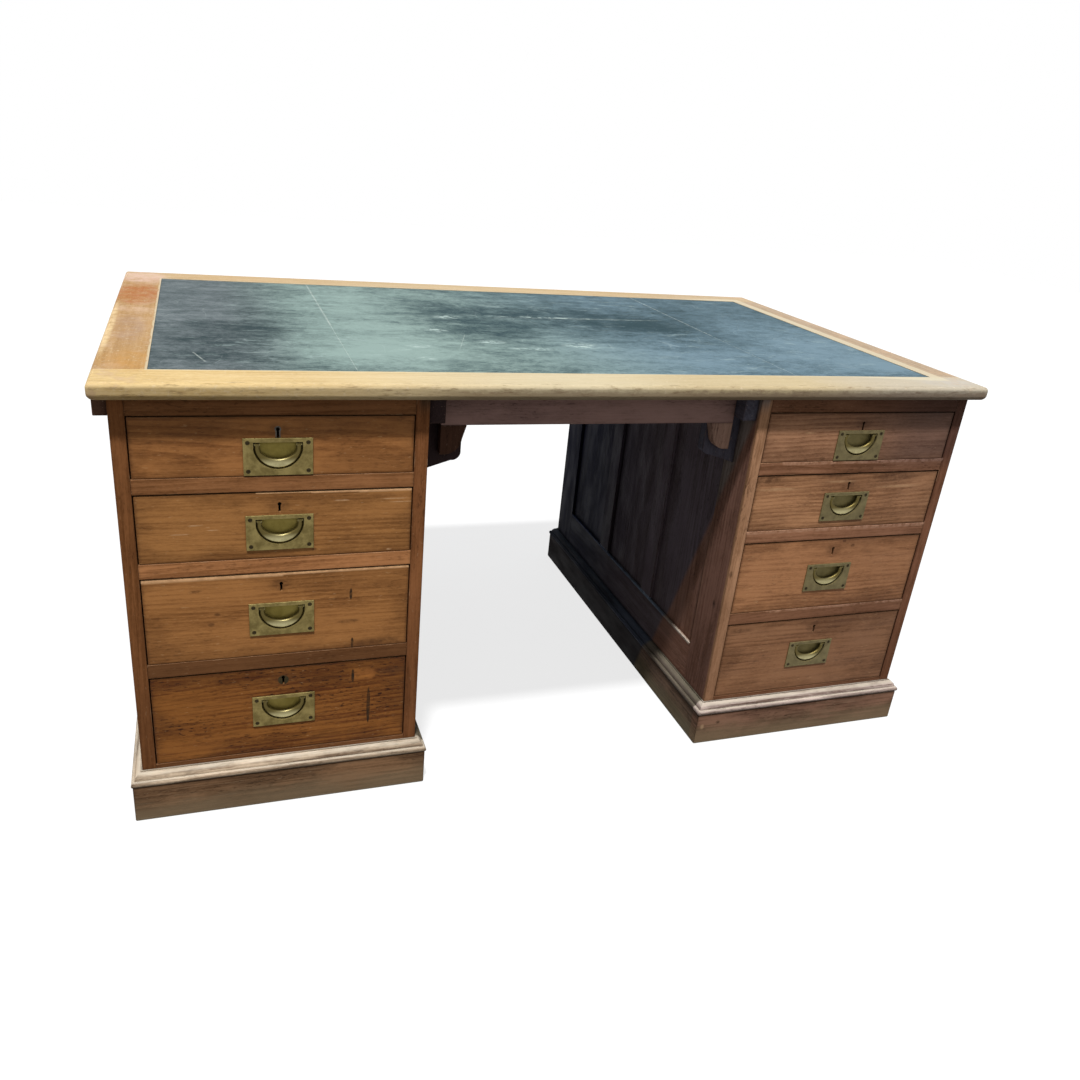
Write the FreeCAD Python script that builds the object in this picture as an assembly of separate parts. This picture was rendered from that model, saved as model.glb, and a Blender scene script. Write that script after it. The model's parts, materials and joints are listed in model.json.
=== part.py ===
import FreeCAD, Part
import os

from FreeCAD import Vector

os.makedirs("parts", exist_ok=True)

# Pedestal desk in millimetres: X runs along the desk, Y from front to back, Z up.
# The origin is on the floor under the middle of the top.

# Overall sizes
desk_width = 1592.0
desk_depth = 944.0
desk_height = 770.0
top_thickness = 26.0
top_overhang = 23.0
pedestal_width = 468.0

# Top: border boards with a rounded edge, ground boards and leather skins
front_border_width = 80.0
side_border_width = 77.0
nosing_top_radius = 7.0
nosing_under_radius = 10.0
corner_radius = 5.0
leather_thickness = 1.5
leather_drop = 0.4
leather_seam_share = 0.57
ground_board_count = 5

# Cleats under the top, one against the inner side of each pedestal and one at the left end
inner_cleat_thickness = 28.0
inner_cleat_height = 46.0
outer_cleat_thickness = 20.0
outer_cleat_height = 30.0
cleat_setback = 9.0
cleat_play = 0.5
cleat_screw_count = 3
cleat_screw_radius = 2.3
cleat_screw_head_radius = 4.5
cleat_screw_head_height = 3.0
cleat_screw_bite = 16.0

# Knee-hole aprons with shaped brackets at their ends and larger blocks behind these
apron_height = 59.0
apron_thickness = 20.0
apron_setback = 39.0
bracket_width = 45.0
bracket_height = 51.0
bracket_step_share = 0.47
bracket_toe_share = 0.16
bracket_bulge_share = 0.20
bracket_taper_share = 0.16
block_width = 70.0
block_drop = 85.0
block_rise_share = 0.20
block_corner_share = 0.50
block_thickness = 22.0

# Framed walls of the pedestals
frame_thickness = 22.0
stile_width = 92.0
muntin_width = 50.0
frame_top_rail = 92.0
frame_bottom_rail = 178.0
side_panel_count = 3
back_stile_width = 60.0
back_panel_count = 2
panel_thickness = 8.0
groove_depth = 8.0
panel_play = 0.3
tenon_length = 30.0
tenon_shoulder = 20.0

# Plinth boards and the moulding on them, a round bead under a swelling crown
plinth_height = 69.5
plinth_projection = 16.5
moulding_height = 24.0
moulding_projection = 18.5
bead_set_share = 0.84
bead_height_share = 0.46
quirk_share = 0.70
crown_out_share = 0.16
crown_height_share = 0.94
crown_bulge_share = 0.16

# Rails, runners and stops inside the pedestals
top_rail_height = 28.0
rail_height = 25.0
rail_depth = 60.0
base_reveal = 8.0
runner_width = 26.0
stop_height = 6.0
stop_length = 18.0
stop_width = 40.0
stop_place_share = 0.3

# Drawers, from the top one down
drawer_height_shares = (0.181, 0.214, 0.288, 0.317)
handle_lift_shares = (0.04, 0.28, 0.42, 0.50)
drawer_side_gap = 1.5
drawer_top_gap = 2.0
drawer_lift = 0.3
drawer_setback = 1.0
drawer_back_gap = 25.0
drawer_front_thickness = 22.0
drawer_side_thickness = 12.0
drawer_side_drop = 5.0
drawer_back_thickness = 12.0
drawer_back_drop = 8.0
drawer_bottom_thickness = 8.0
drawer_bottom_rise = 12.0
drawer_bottom_groove = 6.0
tail_depth = 15.0
tail_pitch = 40.0
tail_root_share = 0.56
tail_tip_share = 0.74

# Handle: plate with a D-shaped dish, screws and a swinging bail
plate_width = 104.0
plate_height = 60.0
plate_proud = 2.0
plate_edge_radius = 0.8
dish_half_width = 37.0
dish_straight = 11.0
dish_arc_drop = 33.0
dish_corner_share = 0.62
dish_top_margin = 6.5
dish_depth = 10.5
dish_wall = 1.8
dish_floor_radius = 8.0
dish_play = 0.5
screw_inset = 7.0
screw_head_radius = 3.5
screw_shank_radius = 1.75
screw_length = 14.0
screw_slot_width = 0.9
screw_slot_depth = 0.8
bail_gap = 1.6
bail_arm_width = 8.0
bail_grip_height = 14.5
bail_thickness = 5.0
bail_inset = 1.0
bail_front_radius = 3.9
bail_back_radius = 0.9
bail_pin_radius = 1.5
bail_pin_play = 0.08

# Drawer lock: case, bolt and keyhole, with an escutcheon on some drawers
lock_width = 60.0
lock_height = 40.0
lock_wall = 2.5
lock_web = 1.5
bolt_width = 26.0
bolt_height = 14.0
bolt_play = 0.2
bolt_throw = 7.0
mortise_play = 0.6
key_drop = 20.0
key_radius = 3.0
key_slot_width = 3.6
key_slot_length = 14.0
key_pin_radius = 1.2
escutcheon_rim = 2.0
escutcheon_depth = 3.0
round_escutcheon_radius = 9.0
round_escutcheon_drop = 5.0
escutcheons = {("left", 1): "keyhole", ("left", 4): "round"}

# Cutting tools run this far past the faces that they open
overrun = 1.0

# Levels and planes that several pieces share
pedestal_depth = desk_depth - 2 * top_overhang
pedestal_centre = desk_width / 2 - top_overhang - pedestal_width / 2
opening_width = pedestal_width - 2 * frame_thickness
underside = desk_height - top_thickness
base_line = plinth_height + moulding_height + base_reveal
front_y = -pedestal_depth / 2
back_y = pedestal_depth / 2
drawer_count = len(drawer_height_shares)
drawer_space = underside - top_rail_height - base_line - rail_height * (drawer_count - 1)
lock_depth = drawer_front_thickness - dish_depth - lock_web
bolt_thickness = lock_depth - 2 * lock_wall
face_y = front_y + drawer_setback
front_back_y = face_y + drawer_front_thickness
lock_y = front_back_y - lock_depth / 2


def span(centre, size):
    """Two ends of a length set evenly about a centre."""
    return (centre - size / 2, centre + size / 2)


def widened(ends, margin):
    """The same length with a margin added at both ends."""
    return (ends[0] - margin, ends[1] + margin)


def board(x, y, z):
    """Straight board between the two ends given on each axis."""
    return Part.makeBox(x[1] - x[0], y[1] - y[0], z[1] - z[0], Vector(x[0], y[0], z[0]))


def rod(radius, start, end):
    """Round bar from one point to another."""
    run = end - start
    return Part.makeCylinder(radius, run.Length, start, run)


def slab(edges, push):
    """Flat outline of edges, pushed along a vector."""
    return Part.Face(Part.Wire(edges)).extrude(push)


def lines(points):
    """Straight edges through the points in turn."""
    return [Part.makeLine(a, b) for a, b in zip(points, points[1:])]


def arc(start, middle, end):
    """Round edge through three points."""
    return Part.Arc(start, middle, end).toShape()


def bulged(start, end, share):
    """Round edge that swells to the left of its chord by a share of the chord's length."""
    chord = end - start
    normal = Vector(chord.z, 0, -chord.x)
    return arc(start, (start + end) / 2 + normal * share, end)


def at(shape, x=0.0, y=0.0, z=0.0):
    """A copy of the shape in another place."""
    return shape.translated(Vector(x, y, z))


def save(node, shapes):
    """Write the solids of one node."""
    solids = [solid for shape in shapes for solid in shape.Solids]
    Part.makeCompound(solids).exportStep(f"parts/{node}.step")


# Drawer openings


def drawer_openings():
    """Lower and upper level of each drawer's opening, from the top drawer down."""
    openings = []
    high = underside - top_rail_height
    for share in drawer_height_shares:
        low = high - drawer_space * share
        openings.append((low, high))
        high = low - rail_height
    return openings


# Top


def top_slab():
    """The whole top with its edge rounded all round, before it is parted into boards."""
    whole = board(span(0, desk_width), span(0, desk_depth), (underside, desk_height))
    upright = [e for e in whole.Edges if e.BoundBox.ZLength > top_thickness / 2]
    whole = whole.makeFillet(corner_radius, upright)
    upper = [e for e in whole.Edges if e.BoundBox.ZMin > desk_height - nosing_top_radius]
    whole = whole.makeFillet(nosing_top_radius, upper)
    lower = [e for e in whole.Edges if e.BoundBox.ZMax < underside + nosing_under_radius]
    return whole.makeFillet(nosing_under_radius, lower)


def top_borders(screws):
    """Front and back boards over the full width, with the side boards butted between them."""
    whole = top_slab().cut(screws)
    thickness = widened((underside, desk_height), overrun)
    inner_y = span(0, desk_depth - 2 * front_border_width)
    inner_x = span(0, desk_width - 2 * side_border_width)
    outer_x = widened(span(0, desk_width), overrun)
    outer_y = widened(span(0, desk_depth), overrun)
    cells = [
        board(outer_x, (outer_y[0], inner_y[0]), thickness),
        board(outer_x, (inner_y[1], outer_y[1]), thickness),
        board((outer_x[0], inner_x[0]), inner_y, thickness),
        board((inner_x[1], outer_x[1]), inner_y, thickness),
    ]
    return [whole.common(cell) for cell in cells]


def ground_boards(screws):
    """Boards that fill the middle of the top and carry the leather."""
    x = span(0, desk_width - 2 * side_border_width)
    y = span(0, desk_depth - 2 * front_border_width)
    z = (underside, desk_height - leather_drop - leather_thickness)
    pitch = (y[1] - y[0]) / ground_board_count
    rows = [(y[0] + pitch * i, y[0] + pitch * (i + 1)) for i in range(ground_board_count)]
    return [board(x, row, z).cut(screws) for row in rows]


def leather_skins():
    """Three skins of leather that meet at two seams."""
    ends = span(0, desk_width - 2 * side_border_width)
    seam = ends[1] * leather_seam_share
    y = span(0, desk_depth - 2 * front_border_width)
    z = (desk_height - leather_drop - leather_thickness, desk_height - leather_drop)
    return [board(x, y, z) for x in ((ends[0], -seam), (-seam, seam), (seam, ends[1]))]


def cleat_places():
    """Ends across the desk and height of each cleat: two inner ones and an outer one at the left."""
    outer_face = desk_width / 2 - top_overhang
    outer = outer_face + cleat_play
    inner = outer_face - pedestal_width - cleat_play
    return [
        ((inner - inner_cleat_thickness, inner), inner_cleat_height),
        ((-inner, inner_cleat_thickness - inner), inner_cleat_height),
        ((-outer - outer_cleat_thickness, -outer), outer_cleat_height),
    ]


def cleat_screw(x, y, height):
    """Wood screw up through a cleat, its head flush with the cleat's underside."""
    low = underside - height
    head = rod(cleat_screw_head_radius, Vector(x, y, low), Vector(x, y, low + cleat_screw_head_height))
    shank = rod(cleat_screw_radius, Vector(x, y, low), Vector(x, y, underside + cleat_screw_bite))
    return head.fuse(shank).removeSplitter()


def cleats_and_screws():
    """Cleats with their screws."""
    ends = widened((front_y, back_y), -cleat_setback)
    pitch = (ends[1] - ends[0]) / cleat_screw_count
    cleats = []
    screws = []
    for x, height in cleat_places():
        rows = [ends[0] + pitch * (i + 1 / 2) for i in range(cleat_screw_count)]
        own = [cleat_screw(sum(x) / 2, y, height) for y in rows]
        cleats.append(board(x, ends, (underside - height, underside)).cut(Part.makeCompound(own)))
        screws += own
    return cleats, screws


def bracket(end_x, thickness):
    """Shaped bracket under the end of an apron, its outer edge upright at end_x on the right."""
    high = underside - apron_height
    low = high - bracket_height
    inner_x = end_x - bracket_width
    step_x = inner_x + bracket_width * bracket_taper_share
    step = Vector(step_x, thickness[0], high - bracket_height * bracket_step_share)
    toe = Vector(end_x - bracket_width * bracket_toe_share, thickness[0], low)
    points = [
        toe,
        Vector(end_x, thickness[0], low),
        Vector(end_x, thickness[0], high),
        Vector(inner_x, thickness[0], high),
        step,
    ]
    edges = lines(points) + [bulged(step, toe, bracket_bulge_share)]
    return slab(edges, Vector(0, thickness[1] - thickness[0], 0))


def corner_block(end_x, thickness):
    """Block under a cleat and behind a bracket, its outer edge upright at end_x on the right."""
    high = underside - inner_cleat_height
    low = underside - apron_height - block_drop
    inner_x = end_x - block_width
    rise = low + block_drop * block_rise_share
    turn = Vector(inner_x + block_drop * block_rise_share, thickness[0], rise)
    flank = Vector(inner_x, thickness[0], rise + block_drop * block_rise_share)
    points = [
        turn,
        Vector(end_x, thickness[0], low),
        Vector(end_x, thickness[0], high),
        Vector(inner_x, thickness[0], high),
        flank,
    ]
    edges = lines(points) + [bulged(flank, turn, block_corner_share / 2)]
    return slab(edges, Vector(0, thickness[1] - thickness[0], 0))


def aprons():
    """Front and rear aprons between the inner cleats, each with a bracket and a block at both ends."""
    pedestal_x = desk_width / 2 - top_overhang - pedestal_width - cleat_play
    end_x = pedestal_x - inner_cleat_thickness
    face = front_y + apron_setback
    rail = board((-end_x, end_x), (face, face + apron_thickness), (underside - apron_height, underside))
    back = face + apron_thickness
    ends = [bracket(end_x, (face, back)), corner_block(pedestal_x, (back, back + block_thickness))]
    across = Vector(1, 0, 0)
    along = Vector(0, 1, 0)
    middle = Vector(0, 0, 0)
    front = [rail] + ends + [piece.mirror(middle, across) for piece in ends]
    return front + [piece.mirror(middle, along) for piece in front]


# Pedestal walls


def tenoned(members, tongues):
    """Frame members with their tenons."""
    return [member.fuse(tongue).removeSplitter() for member, tongue in zip(members, tongues)]


def hollowed(members, hollows):
    """Frame members cut for the mortises or grooves in them."""
    cutter = Part.makeCompound(hollows)
    return [member.cut(cutter) for member in members]


def framed_wall(length, end_stile_width, panel_count):
    """Stiles, rails and muntins round loose panels, standing along X and centred on the origin in plan."""
    thickness = span(0, frame_thickness)
    core = widened(span(0, panel_thickness), panel_play)
    ends = span(0, length)
    opening = widened(ends, -end_stile_width)
    levels = (frame_bottom_rail, underside - frame_top_rail)
    panel_width = (opening[1] - opening[0] - muntin_width * (panel_count - 1)) / panel_count
    stiles = [board(x, thickness, (0, underside)) for x in ((ends[0], opening[0]), (opening[1], ends[1]))]
    rail_levels = [(0, levels[0]), (levels[1], underside)]
    rails = [board(opening, thickness, z) for z in rail_levels]
    tenon_reach = widened(opening, tenon_length)
    rail_tongues = [board(tenon_reach, core, widened(z, -tenon_shoulder)) for z in rail_levels]
    muntins = []
    muntin_tongues = []
    panels = []
    grooves = []
    for number in range(panel_count):
        left = opening[0] + (panel_width + muntin_width) * number
        if number:
            muntin = (left - muntin_width, left)
            tongue = widened(muntin, -groove_depth - panel_play)
            muntins.append(board(muntin, thickness, levels))
            muntin_tongues.append(board(tongue, core, widened(levels, tenon_length)))
        ends_of_panel = [
            widened((left, left + panel_width), groove_depth),
            span(0, panel_thickness),
            widened(levels, groove_depth),
        ]
        panels.append(board(*ends_of_panel))
        grooves.append(board(*[widened(pair, panel_play) for pair in ends_of_panel]))
    stiles = hollowed(stiles, rail_tongues)
    rails = hollowed(tenoned(rails, rail_tongues), muntin_tongues)
    muntins = tenoned(muntins, muntin_tongues)
    return hollowed(stiles + rails + muntins, grooves), panels


def side_walls():
    """Framed walls on both sides of a pedestal, as frames and as panels."""
    frame, panels = framed_wall(pedestal_depth, stile_width, side_panel_count)
    offset = (pedestal_width - frame_thickness) / 2
    upright = Vector(0, 0, 1)
    origin = Vector(0, 0, 0)
    turned_frame = [shape.rotated(origin, upright, 90) for shape in frame]
    turned_panels = [shape.rotated(origin, upright, 90) for shape in panels]
    both = (-offset, offset)
    return [at(s, x=x) for x in both for s in turned_frame], [at(s, x=x) for x in both for s in turned_panels]


def back_wall():
    """Framed wall between the side walls at the back."""
    frame, panels = framed_wall(opening_width, back_stile_width, back_panel_count)
    return [at(shape, y=back_y - frame_thickness / 2) for shape in frame + panels]


# Inside of a pedestal


def bolt_place(front_top):
    """Ends of a withdrawn bolt on each axis, its top level with the drawer front's top edge."""
    return span(0, bolt_width), span(lock_y, bolt_thickness), (front_top - bolt_height, front_top)


def drawer_rails():
    """Front rails over, between and under the drawers, with a mortise over each lock."""
    x = span(0, opening_width)
    y = (front_y, front_y + rail_depth)
    openings = drawer_openings()
    rails = []
    high = underside
    for low, top in openings:
        bolt_x, bolt_y, bolt_z = bolt_place(top - drawer_top_gap)
        reach = bolt_z[1] + bolt_throw + mortise_play
        mortise = board(widened(bolt_x, mortise_play), widened(bolt_y, mortise_play), (top - overrun, reach))
        rails.append(board(x, y, (top, high)).cut(mortise))
        high = low
    rails.append(board(x, y, (high - rail_height, high)))
    return rails


def drawer_runners():
    """Runners and kickers along both walls, and a pair of stop blocks behind each drawer front."""
    y = (front_y + rail_depth, back_y - frame_thickness)
    outer = opening_width / 2
    strips = [(outer - runner_width, outer), (-outer, runner_width - outer)]
    openings = drawer_openings()
    levels = [(underside - top_rail_height, underside)] + [(low - rail_height, low) for low, high in openings]
    pieces = [board(x, y, z) for z in levels for x in strips]
    stop_y = (front_back_y, front_back_y + stop_length)
    for low, high in openings:
        for place in (-stop_place_share, stop_place_share):
            pieces.append(board(span(opening_width * place, stop_width), stop_y, (low, low + stop_height)))
    return pieces


# Plinth


def plinth_section(x):
    """Closed section of a plinth board at one X, outward along -Y from the wall at Y = 0."""
    y = -plinth_projection
    points = [Vector(x, 0, 0), Vector(x, y, 0), Vector(x, y, plinth_height), Vector(x, 0, plinth_height)]
    return lines(points + points[:1])


def moulding_section(x):
    """Closed section of the plinth moulding at one X, outward along -Y from the wall at Y = 0."""

    def point(out_share, up_share):
        return Vector(x, -moulding_projection * out_share, plinth_height + moulding_height * up_share)

    bead = [
        point(bead_set_share, 0),
        point(1, bead_height_share / 2),
        point(bead_set_share, bead_height_share),
    ]
    quirk = point(quirk_share, bead_height_share)
    crown = point(crown_out_share, crown_height_share)
    chord = crown - quirk
    swell = (quirk + crown) / 2 + Vector(0, -chord.z, chord.y) * crown_bulge_share
    shoulder = [crown, point(crown_out_share, 1), point(0, 1), point(0, 0), bead[0]]
    return [arc(*bead)] + lines([bead[-1], quirk]) + [arc(quirk, swell, crown)] + lines(shoulder)


def mitred(section, projection, length):
    """One length along X, its ends mitred so that four such lengths ring a wall."""
    half = length / 2
    reach = half + projection
    bar = slab(section(-reach), Vector(2 * reach, 0, 0))
    wide = projection + overrun
    corners = [
        Vector(half, 0, -overrun),
        Vector(half + wide, -wide, -overrun),
        Vector(half + wide, 0, -overrun),
    ]
    wedge = slab(lines(corners + corners[:1]), Vector(0, 0, base_line + 2 * overrun))
    other = wedge.mirror(Vector(0, 0, 0), Vector(1, 0, 0))
    return bar.cut(wedge).cut(other)


def ring(section, projection):
    """Four mitred lengths round a pedestal."""
    upright = Vector(0, 0, 1)
    origin = Vector(0, 0, 0)
    front = at(mitred(section, projection, pedestal_width), y=front_y)
    side = at(mitred(section, projection, pedestal_depth), y=-pedestal_width / 2)
    lengths = [front, front.rotated(origin, upright, 180)]
    return lengths + [side.rotated(origin, upright, angle) for angle in (90, -90)]


# Handle, in its own place: plate centre at X = Z = 0 and drawer face at Y = 0


def dish_edges(half_width, arc_drop, straight, grow, y):
    """D-shaped outline: flat top, short straight sides and a three-centred curve under them."""
    corner = arc_drop * dish_corner_share
    offset = half_width - corner
    sweep = (offset**2 + arc_drop**2 - corner**2) / (2 * (arc_drop - corner))
    toward = Vector(offset, 0, arc_drop - sweep).normalize()
    between = (toward + Vector(1, 0, 0)).normalize()
    centre = Vector(offset, y, 0)
    reach = corner + grow
    right = [Vector(half_width + grow, y, 0), centre + between * reach, centre + toward * reach]
    left = [Vector(-p.x, p.y, p.z) for p in reversed(right)]
    bottom = Vector(0, y, -arc_drop - grow)
    top_right = Vector(half_width + grow, y, straight + grow)
    top_left = Vector(-half_width - grow, y, straight + grow)
    curves = [arc(*right), arc(right[-1], bottom, left[0]), arc(*left)]
    return lines([left[-1], top_left, top_right, right[0]]) + curves


def dish_block(grow, y):
    """Solid of the dish's outline, grown all round, between two depths."""
    edges = dish_edges(dish_half_width, dish_arc_drop, dish_straight, grow, y[0])
    lift = plate_height / 2 - dish_top_margin - dish_straight
    return at(slab(edges, Vector(0, y[1] - y[0], 0)), z=lift)


def bail_pivot():
    """Depth and height of the bail's hinge line."""
    y = bail_inset - plate_proud + bail_thickness / 2
    z = plate_height / 2 - dish_top_margin - bail_gap - bail_thickness / 2
    return y, z


def bail_pins(radius):
    """Stub pins from the bail's arms out through the dish's walls."""
    y, z = bail_pivot()
    inner = dish_half_width - bail_gap - bail_arm_width / 2
    outer = dish_half_width + dish_wall
    return [rod(radius, Vector(s * inner, y, z), Vector(s * outer, y, z)) for s in (-1, 1)]


def screw_places():
    """Centres of the four screws in the plate's corners."""
    x = plate_width / 2 - screw_inset
    z = plate_height / 2 - screw_inset
    return [(sx * x, sz * z) for sx in (-1, 1) for sz in (-1, 1)]


def plate_screw(x, z):
    """Countersunk screw, its head level with the plate's face."""
    start = Vector(x, -plate_proud, z)
    inward = Vector(0, 1, 0)
    head = Part.makeCone(screw_head_radius, screw_shank_radius, plate_proud, start, inward)
    return head.fuse(rod(screw_shank_radius, start, start + inward * screw_length)).removeSplitter()


def slotted(screw):
    """The screw with a driver slot across its head."""
    box = screw.BoundBox
    slot_z = span((box.ZMin + box.ZMax) / 2, screw_slot_width)
    slot_y = (-plate_proud - overrun, screw_slot_depth - plate_proud)
    return screw.cut(board(widened((box.XMin, box.XMax), overrun), slot_y, slot_z))


def handle_plate(screws):
    """Plate and dish in one casting, with holes for the screws and the bail's pins."""
    plate = board(span(0, plate_width), (-plate_proud, 0), span(0, plate_height))
    rim = [e for e in plate.Edges if e.BoundBox.YMax < 0]
    plate = plate.makeFillet(plate_edge_radius, rim)
    casting = plate.fuse(dish_block(dish_wall, (0, dish_depth)))
    hollow = dish_block(0, (-plate_proud - overrun, dish_depth - dish_wall))
    floor_rim = [e for e in hollow.Edges if e.BoundBox.YMin > hollow.BoundBox.YMax - overrun]
    hollow = hollow.makeFillet(dish_floor_radius, floor_rim)
    pin_holes = bail_pins(bail_pin_radius + bail_pin_play)
    return casting.cut(Part.makeCompound([hollow] + pin_holes + screws)).removeSplitter()


def bail():
    """Crescent grip with two arms, knuckles at their tops and stub pins."""
    pivot_y, pivot_z = bail_pivot()
    y = span(pivot_y, bail_thickness)
    outer = dish_block(-bail_gap, y)
    grip = dish_half_width - bail_gap - bail_arm_width
    hole = dish_edges(grip, dish_arc_drop - bail_gap - bail_grip_height, dish_straight, 0, y[0] - overrun)
    lift = plate_height / 2 - dish_top_margin - dish_straight
    hole = at(slab(hole, Vector(0, bail_thickness + 2 * overrun, 0)), z=lift)
    above = board(span(0, plate_width), widened(y, overrun), (pivot_z, plate_height))
    crescent = outer.cut(hole).cut(above)
    for face, radius in ((y[0], bail_front_radius), (y[1], bail_back_radius)):
        level = [e for e in crescent.Edges if abs(e.CenterOfMass.y - face) < bail_back_radius / 2]
        rounded = [e for e in level if e.BoundBox.YLength < bail_back_radius / 2]
        rounded = [e for e in rounded if e.BoundBox.ZMin < pivot_z - bail_gap]
        crescent = crescent.makeFillet(radius, rounded)
    knuckles = []
    for side in (-1, 1):
        start = Vector(side * grip, pivot_y, pivot_z)
        knuckles.append(rod(bail_thickness / 2, start, start + Vector(side * bail_arm_width, 0, 0)))
    return crescent.multiFuse(knuckles + bail_pins(bail_pin_radius)).removeSplitter()


# Drawer


def keyhole(level, grow, y):
    """Round hole with a slot under it, grown all round, between two depths."""
    hole = rod(key_radius + grow, Vector(0, y[0], level), Vector(0, y[1], level))
    slot = board(span(0, key_slot_width + 2 * grow), y, (level - key_slot_length - grow, level))
    return hole.fuse(slot).removeSplitter()


def escutcheon(kind, level):
    """Brass round a keyhole, let in flush with the drawer's face."""
    y = (face_y, face_y + escutcheon_depth)
    if kind == "round":
        middle = level - round_escutcheon_drop
        blank = rod(round_escutcheon_radius, Vector(0, y[0], middle), Vector(0, y[1], middle))
    else:
        blank = keyhole(level, escutcheon_rim, y)
    return blank


def lock_case(front_top, level):
    """Lock case let into the back of the drawer front, with its bolt's way and its key's chamber."""
    y = span(lock_y, lock_depth)
    case = board(span(0, lock_width), y, (front_top - lock_height, front_top))
    bolt_x, bolt_y, bolt_z = bolt_place(front_top)
    way = board(widened(bolt_x, bolt_play), widened(bolt_y, bolt_play), (bolt_z[0], bolt_z[1] + overrun))
    chamber = keyhole(level, 0, (y[0] - overrun, y[1] - lock_wall))
    pin = rod(key_pin_radius, Vector(0, y[0], level), Vector(0, y[1], level))
    return case.cut(way).cut(chamber).fuse(pin).removeSplitter()


def tails(x, z):
    """Dovetails at the front end of a drawer side, in line with the side."""
    count = max(2, round((z[1] - z[0]) / tail_pitch))
    pitch = (z[1] - z[0]) / count
    tip_y = front_back_y - tail_depth
    pieces = []
    for number in range(count):
        middle = z[0] + pitch * (number + 1 / 2)
        root = span(middle, pitch * tail_root_share)
        tip = span(middle, pitch * tail_tip_share)
        points = [
            Vector(x[0], front_back_y, root[0]),
            Vector(x[0], tip_y, tip[0]),
            Vector(x[0], tip_y, tip[1]),
            Vector(x[0], front_back_y, root[1]),
        ]
        pieces.append(slab(lines(points + points[:1]), Vector(x[1] - x[0], 0, 0)))
    return pieces


def drawer_box(front_z):
    """Sides, back and bottom, with the tails and the bottom's space that the front has to take."""
    outer = opening_width / 2 - drawer_side_gap
    end_y = back_y - frame_thickness - drawer_back_gap
    side_z = (front_z[0], front_z[1] - drawer_side_drop)
    bottom_z = (front_z[0] + drawer_bottom_rise, front_z[0] + drawer_bottom_rise + drawer_bottom_thickness)
    inner = outer - drawer_side_thickness
    bottom_x = span(0, 2 * (inner + drawer_bottom_groove))
    bottom = board(bottom_x, (front_back_y - drawer_bottom_groove, end_y), bottom_z)
    sides = []
    sockets = []
    for x in ((-outer, -inner), (inner, outer)):
        own_tails = tails(x, side_z)
        side = board(x, (front_back_y, end_y), side_z).multiFuse(own_tails).removeSplitter()
        sides.append(side.cut(bottom))
        sockets += own_tails
    back_z = (bottom_z[1], side_z[1] - drawer_back_drop)
    back = board((-inner, inner), (end_y - drawer_back_thickness, end_y), back_z)
    return sides + [back, bottom], sockets + [bottom]


def drawer(side, number):
    """All the pieces of one drawer as a table of node endings and shapes."""
    low, high = drawer_openings()[number - 1]
    front_z = (low + drawer_lift, high - drawer_top_gap)
    width = opening_width - 2 * drawer_side_gap
    key_level = front_z[1] - key_drop
    spare = front_z[1] - front_z[0] - plate_height
    plate_z = front_z[0] + spare * handle_lift_shares[number - 1] + plate_height / 2
    screws = [plate_screw(x, z) for x, z in screw_places()]
    handle = [handle_plate(screws)] + [slotted(screw) for screw in screws]
    fittings = [at(shape, y=face_y, z=plate_z) for shape in handle]
    lock = board(span(0, lock_width), span(lock_y, lock_depth), (front_z[1] - lock_height, front_z[1]))
    key_way = keyhole(key_level, 0, (face_y - overrun, lock_y))
    pocket = at(dish_block(dish_wall + dish_play, (0, dish_depth + dish_play)), y=face_y, z=plate_z)
    pilots = [at(screw, y=face_y, z=plate_z) for screw in screws]
    box, let_in = drawer_box(front_z)
    front = board(span(0, width), (face_y, front_back_y), front_z)
    front = front.cut(Part.makeCompound(let_in)).cut(Part.makeCompound(pilots))
    front = front.cut(lock).cut(key_way).cut(pocket)
    kind = escutcheons.get((side, number))
    if kind:
        blank = escutcheon(kind, key_level)
        front = front.cut(blank)
        fittings.append(blank.cut(key_way))
    fittings.append(lock_case(front_z[1], key_level))
    return {
        "front": [front],
        "box": box,
        "fittings": fittings,
        "bail": [at(bail(), y=face_y, z=plate_z)],
        "bolt": [board(*bolt_place(front_z[1]))],
    }


def pedestal():
    """All the fixed pieces of one pedestal as a table of node endings and shapes."""
    frames, panels = side_walls()
    return {
        "side_frames": frames,
        "side_panels": panels,
        "back_panelling": back_wall(),
        "drawer_rails": drawer_rails(),
        "drawer_runners": drawer_runners(),
        "plinth_boards": ring(plinth_section, plinth_projection),
        "plinth_moulding": ring(moulding_section, moulding_projection),
    }


# The whole desk

cleats, screws = cleats_and_screws()
save("top_borders", top_borders(Part.makeCompound(screws)))
save("top_panel", ground_boards(Part.makeCompound(screws)))
save("writing_leather", leather_skins())
save("top_cleats", cleats)
save("cleat_screws", screws)
save("knee_hole_aprons", aprons())

for side, centre in (("left", -pedestal_centre), ("right", pedestal_centre)):
    for ending, shapes in pedestal().items():
        save(f"{side}_{ending}", [at(shape, x=centre) for shape in shapes])
    for number in range(1, drawer_count + 1):
        for ending, shapes in drawer(side, number).items():
            save(f"{side}_drawer_{number}_{ending}", [at(shape, x=centre) for shape in shapes])
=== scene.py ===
"""Looks of the pedestal campaign desk: worn pine boards, slate leather and aged brass, in metres."""
import json
import math
import random

import bmesh
import bpy
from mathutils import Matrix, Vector, noise

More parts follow.
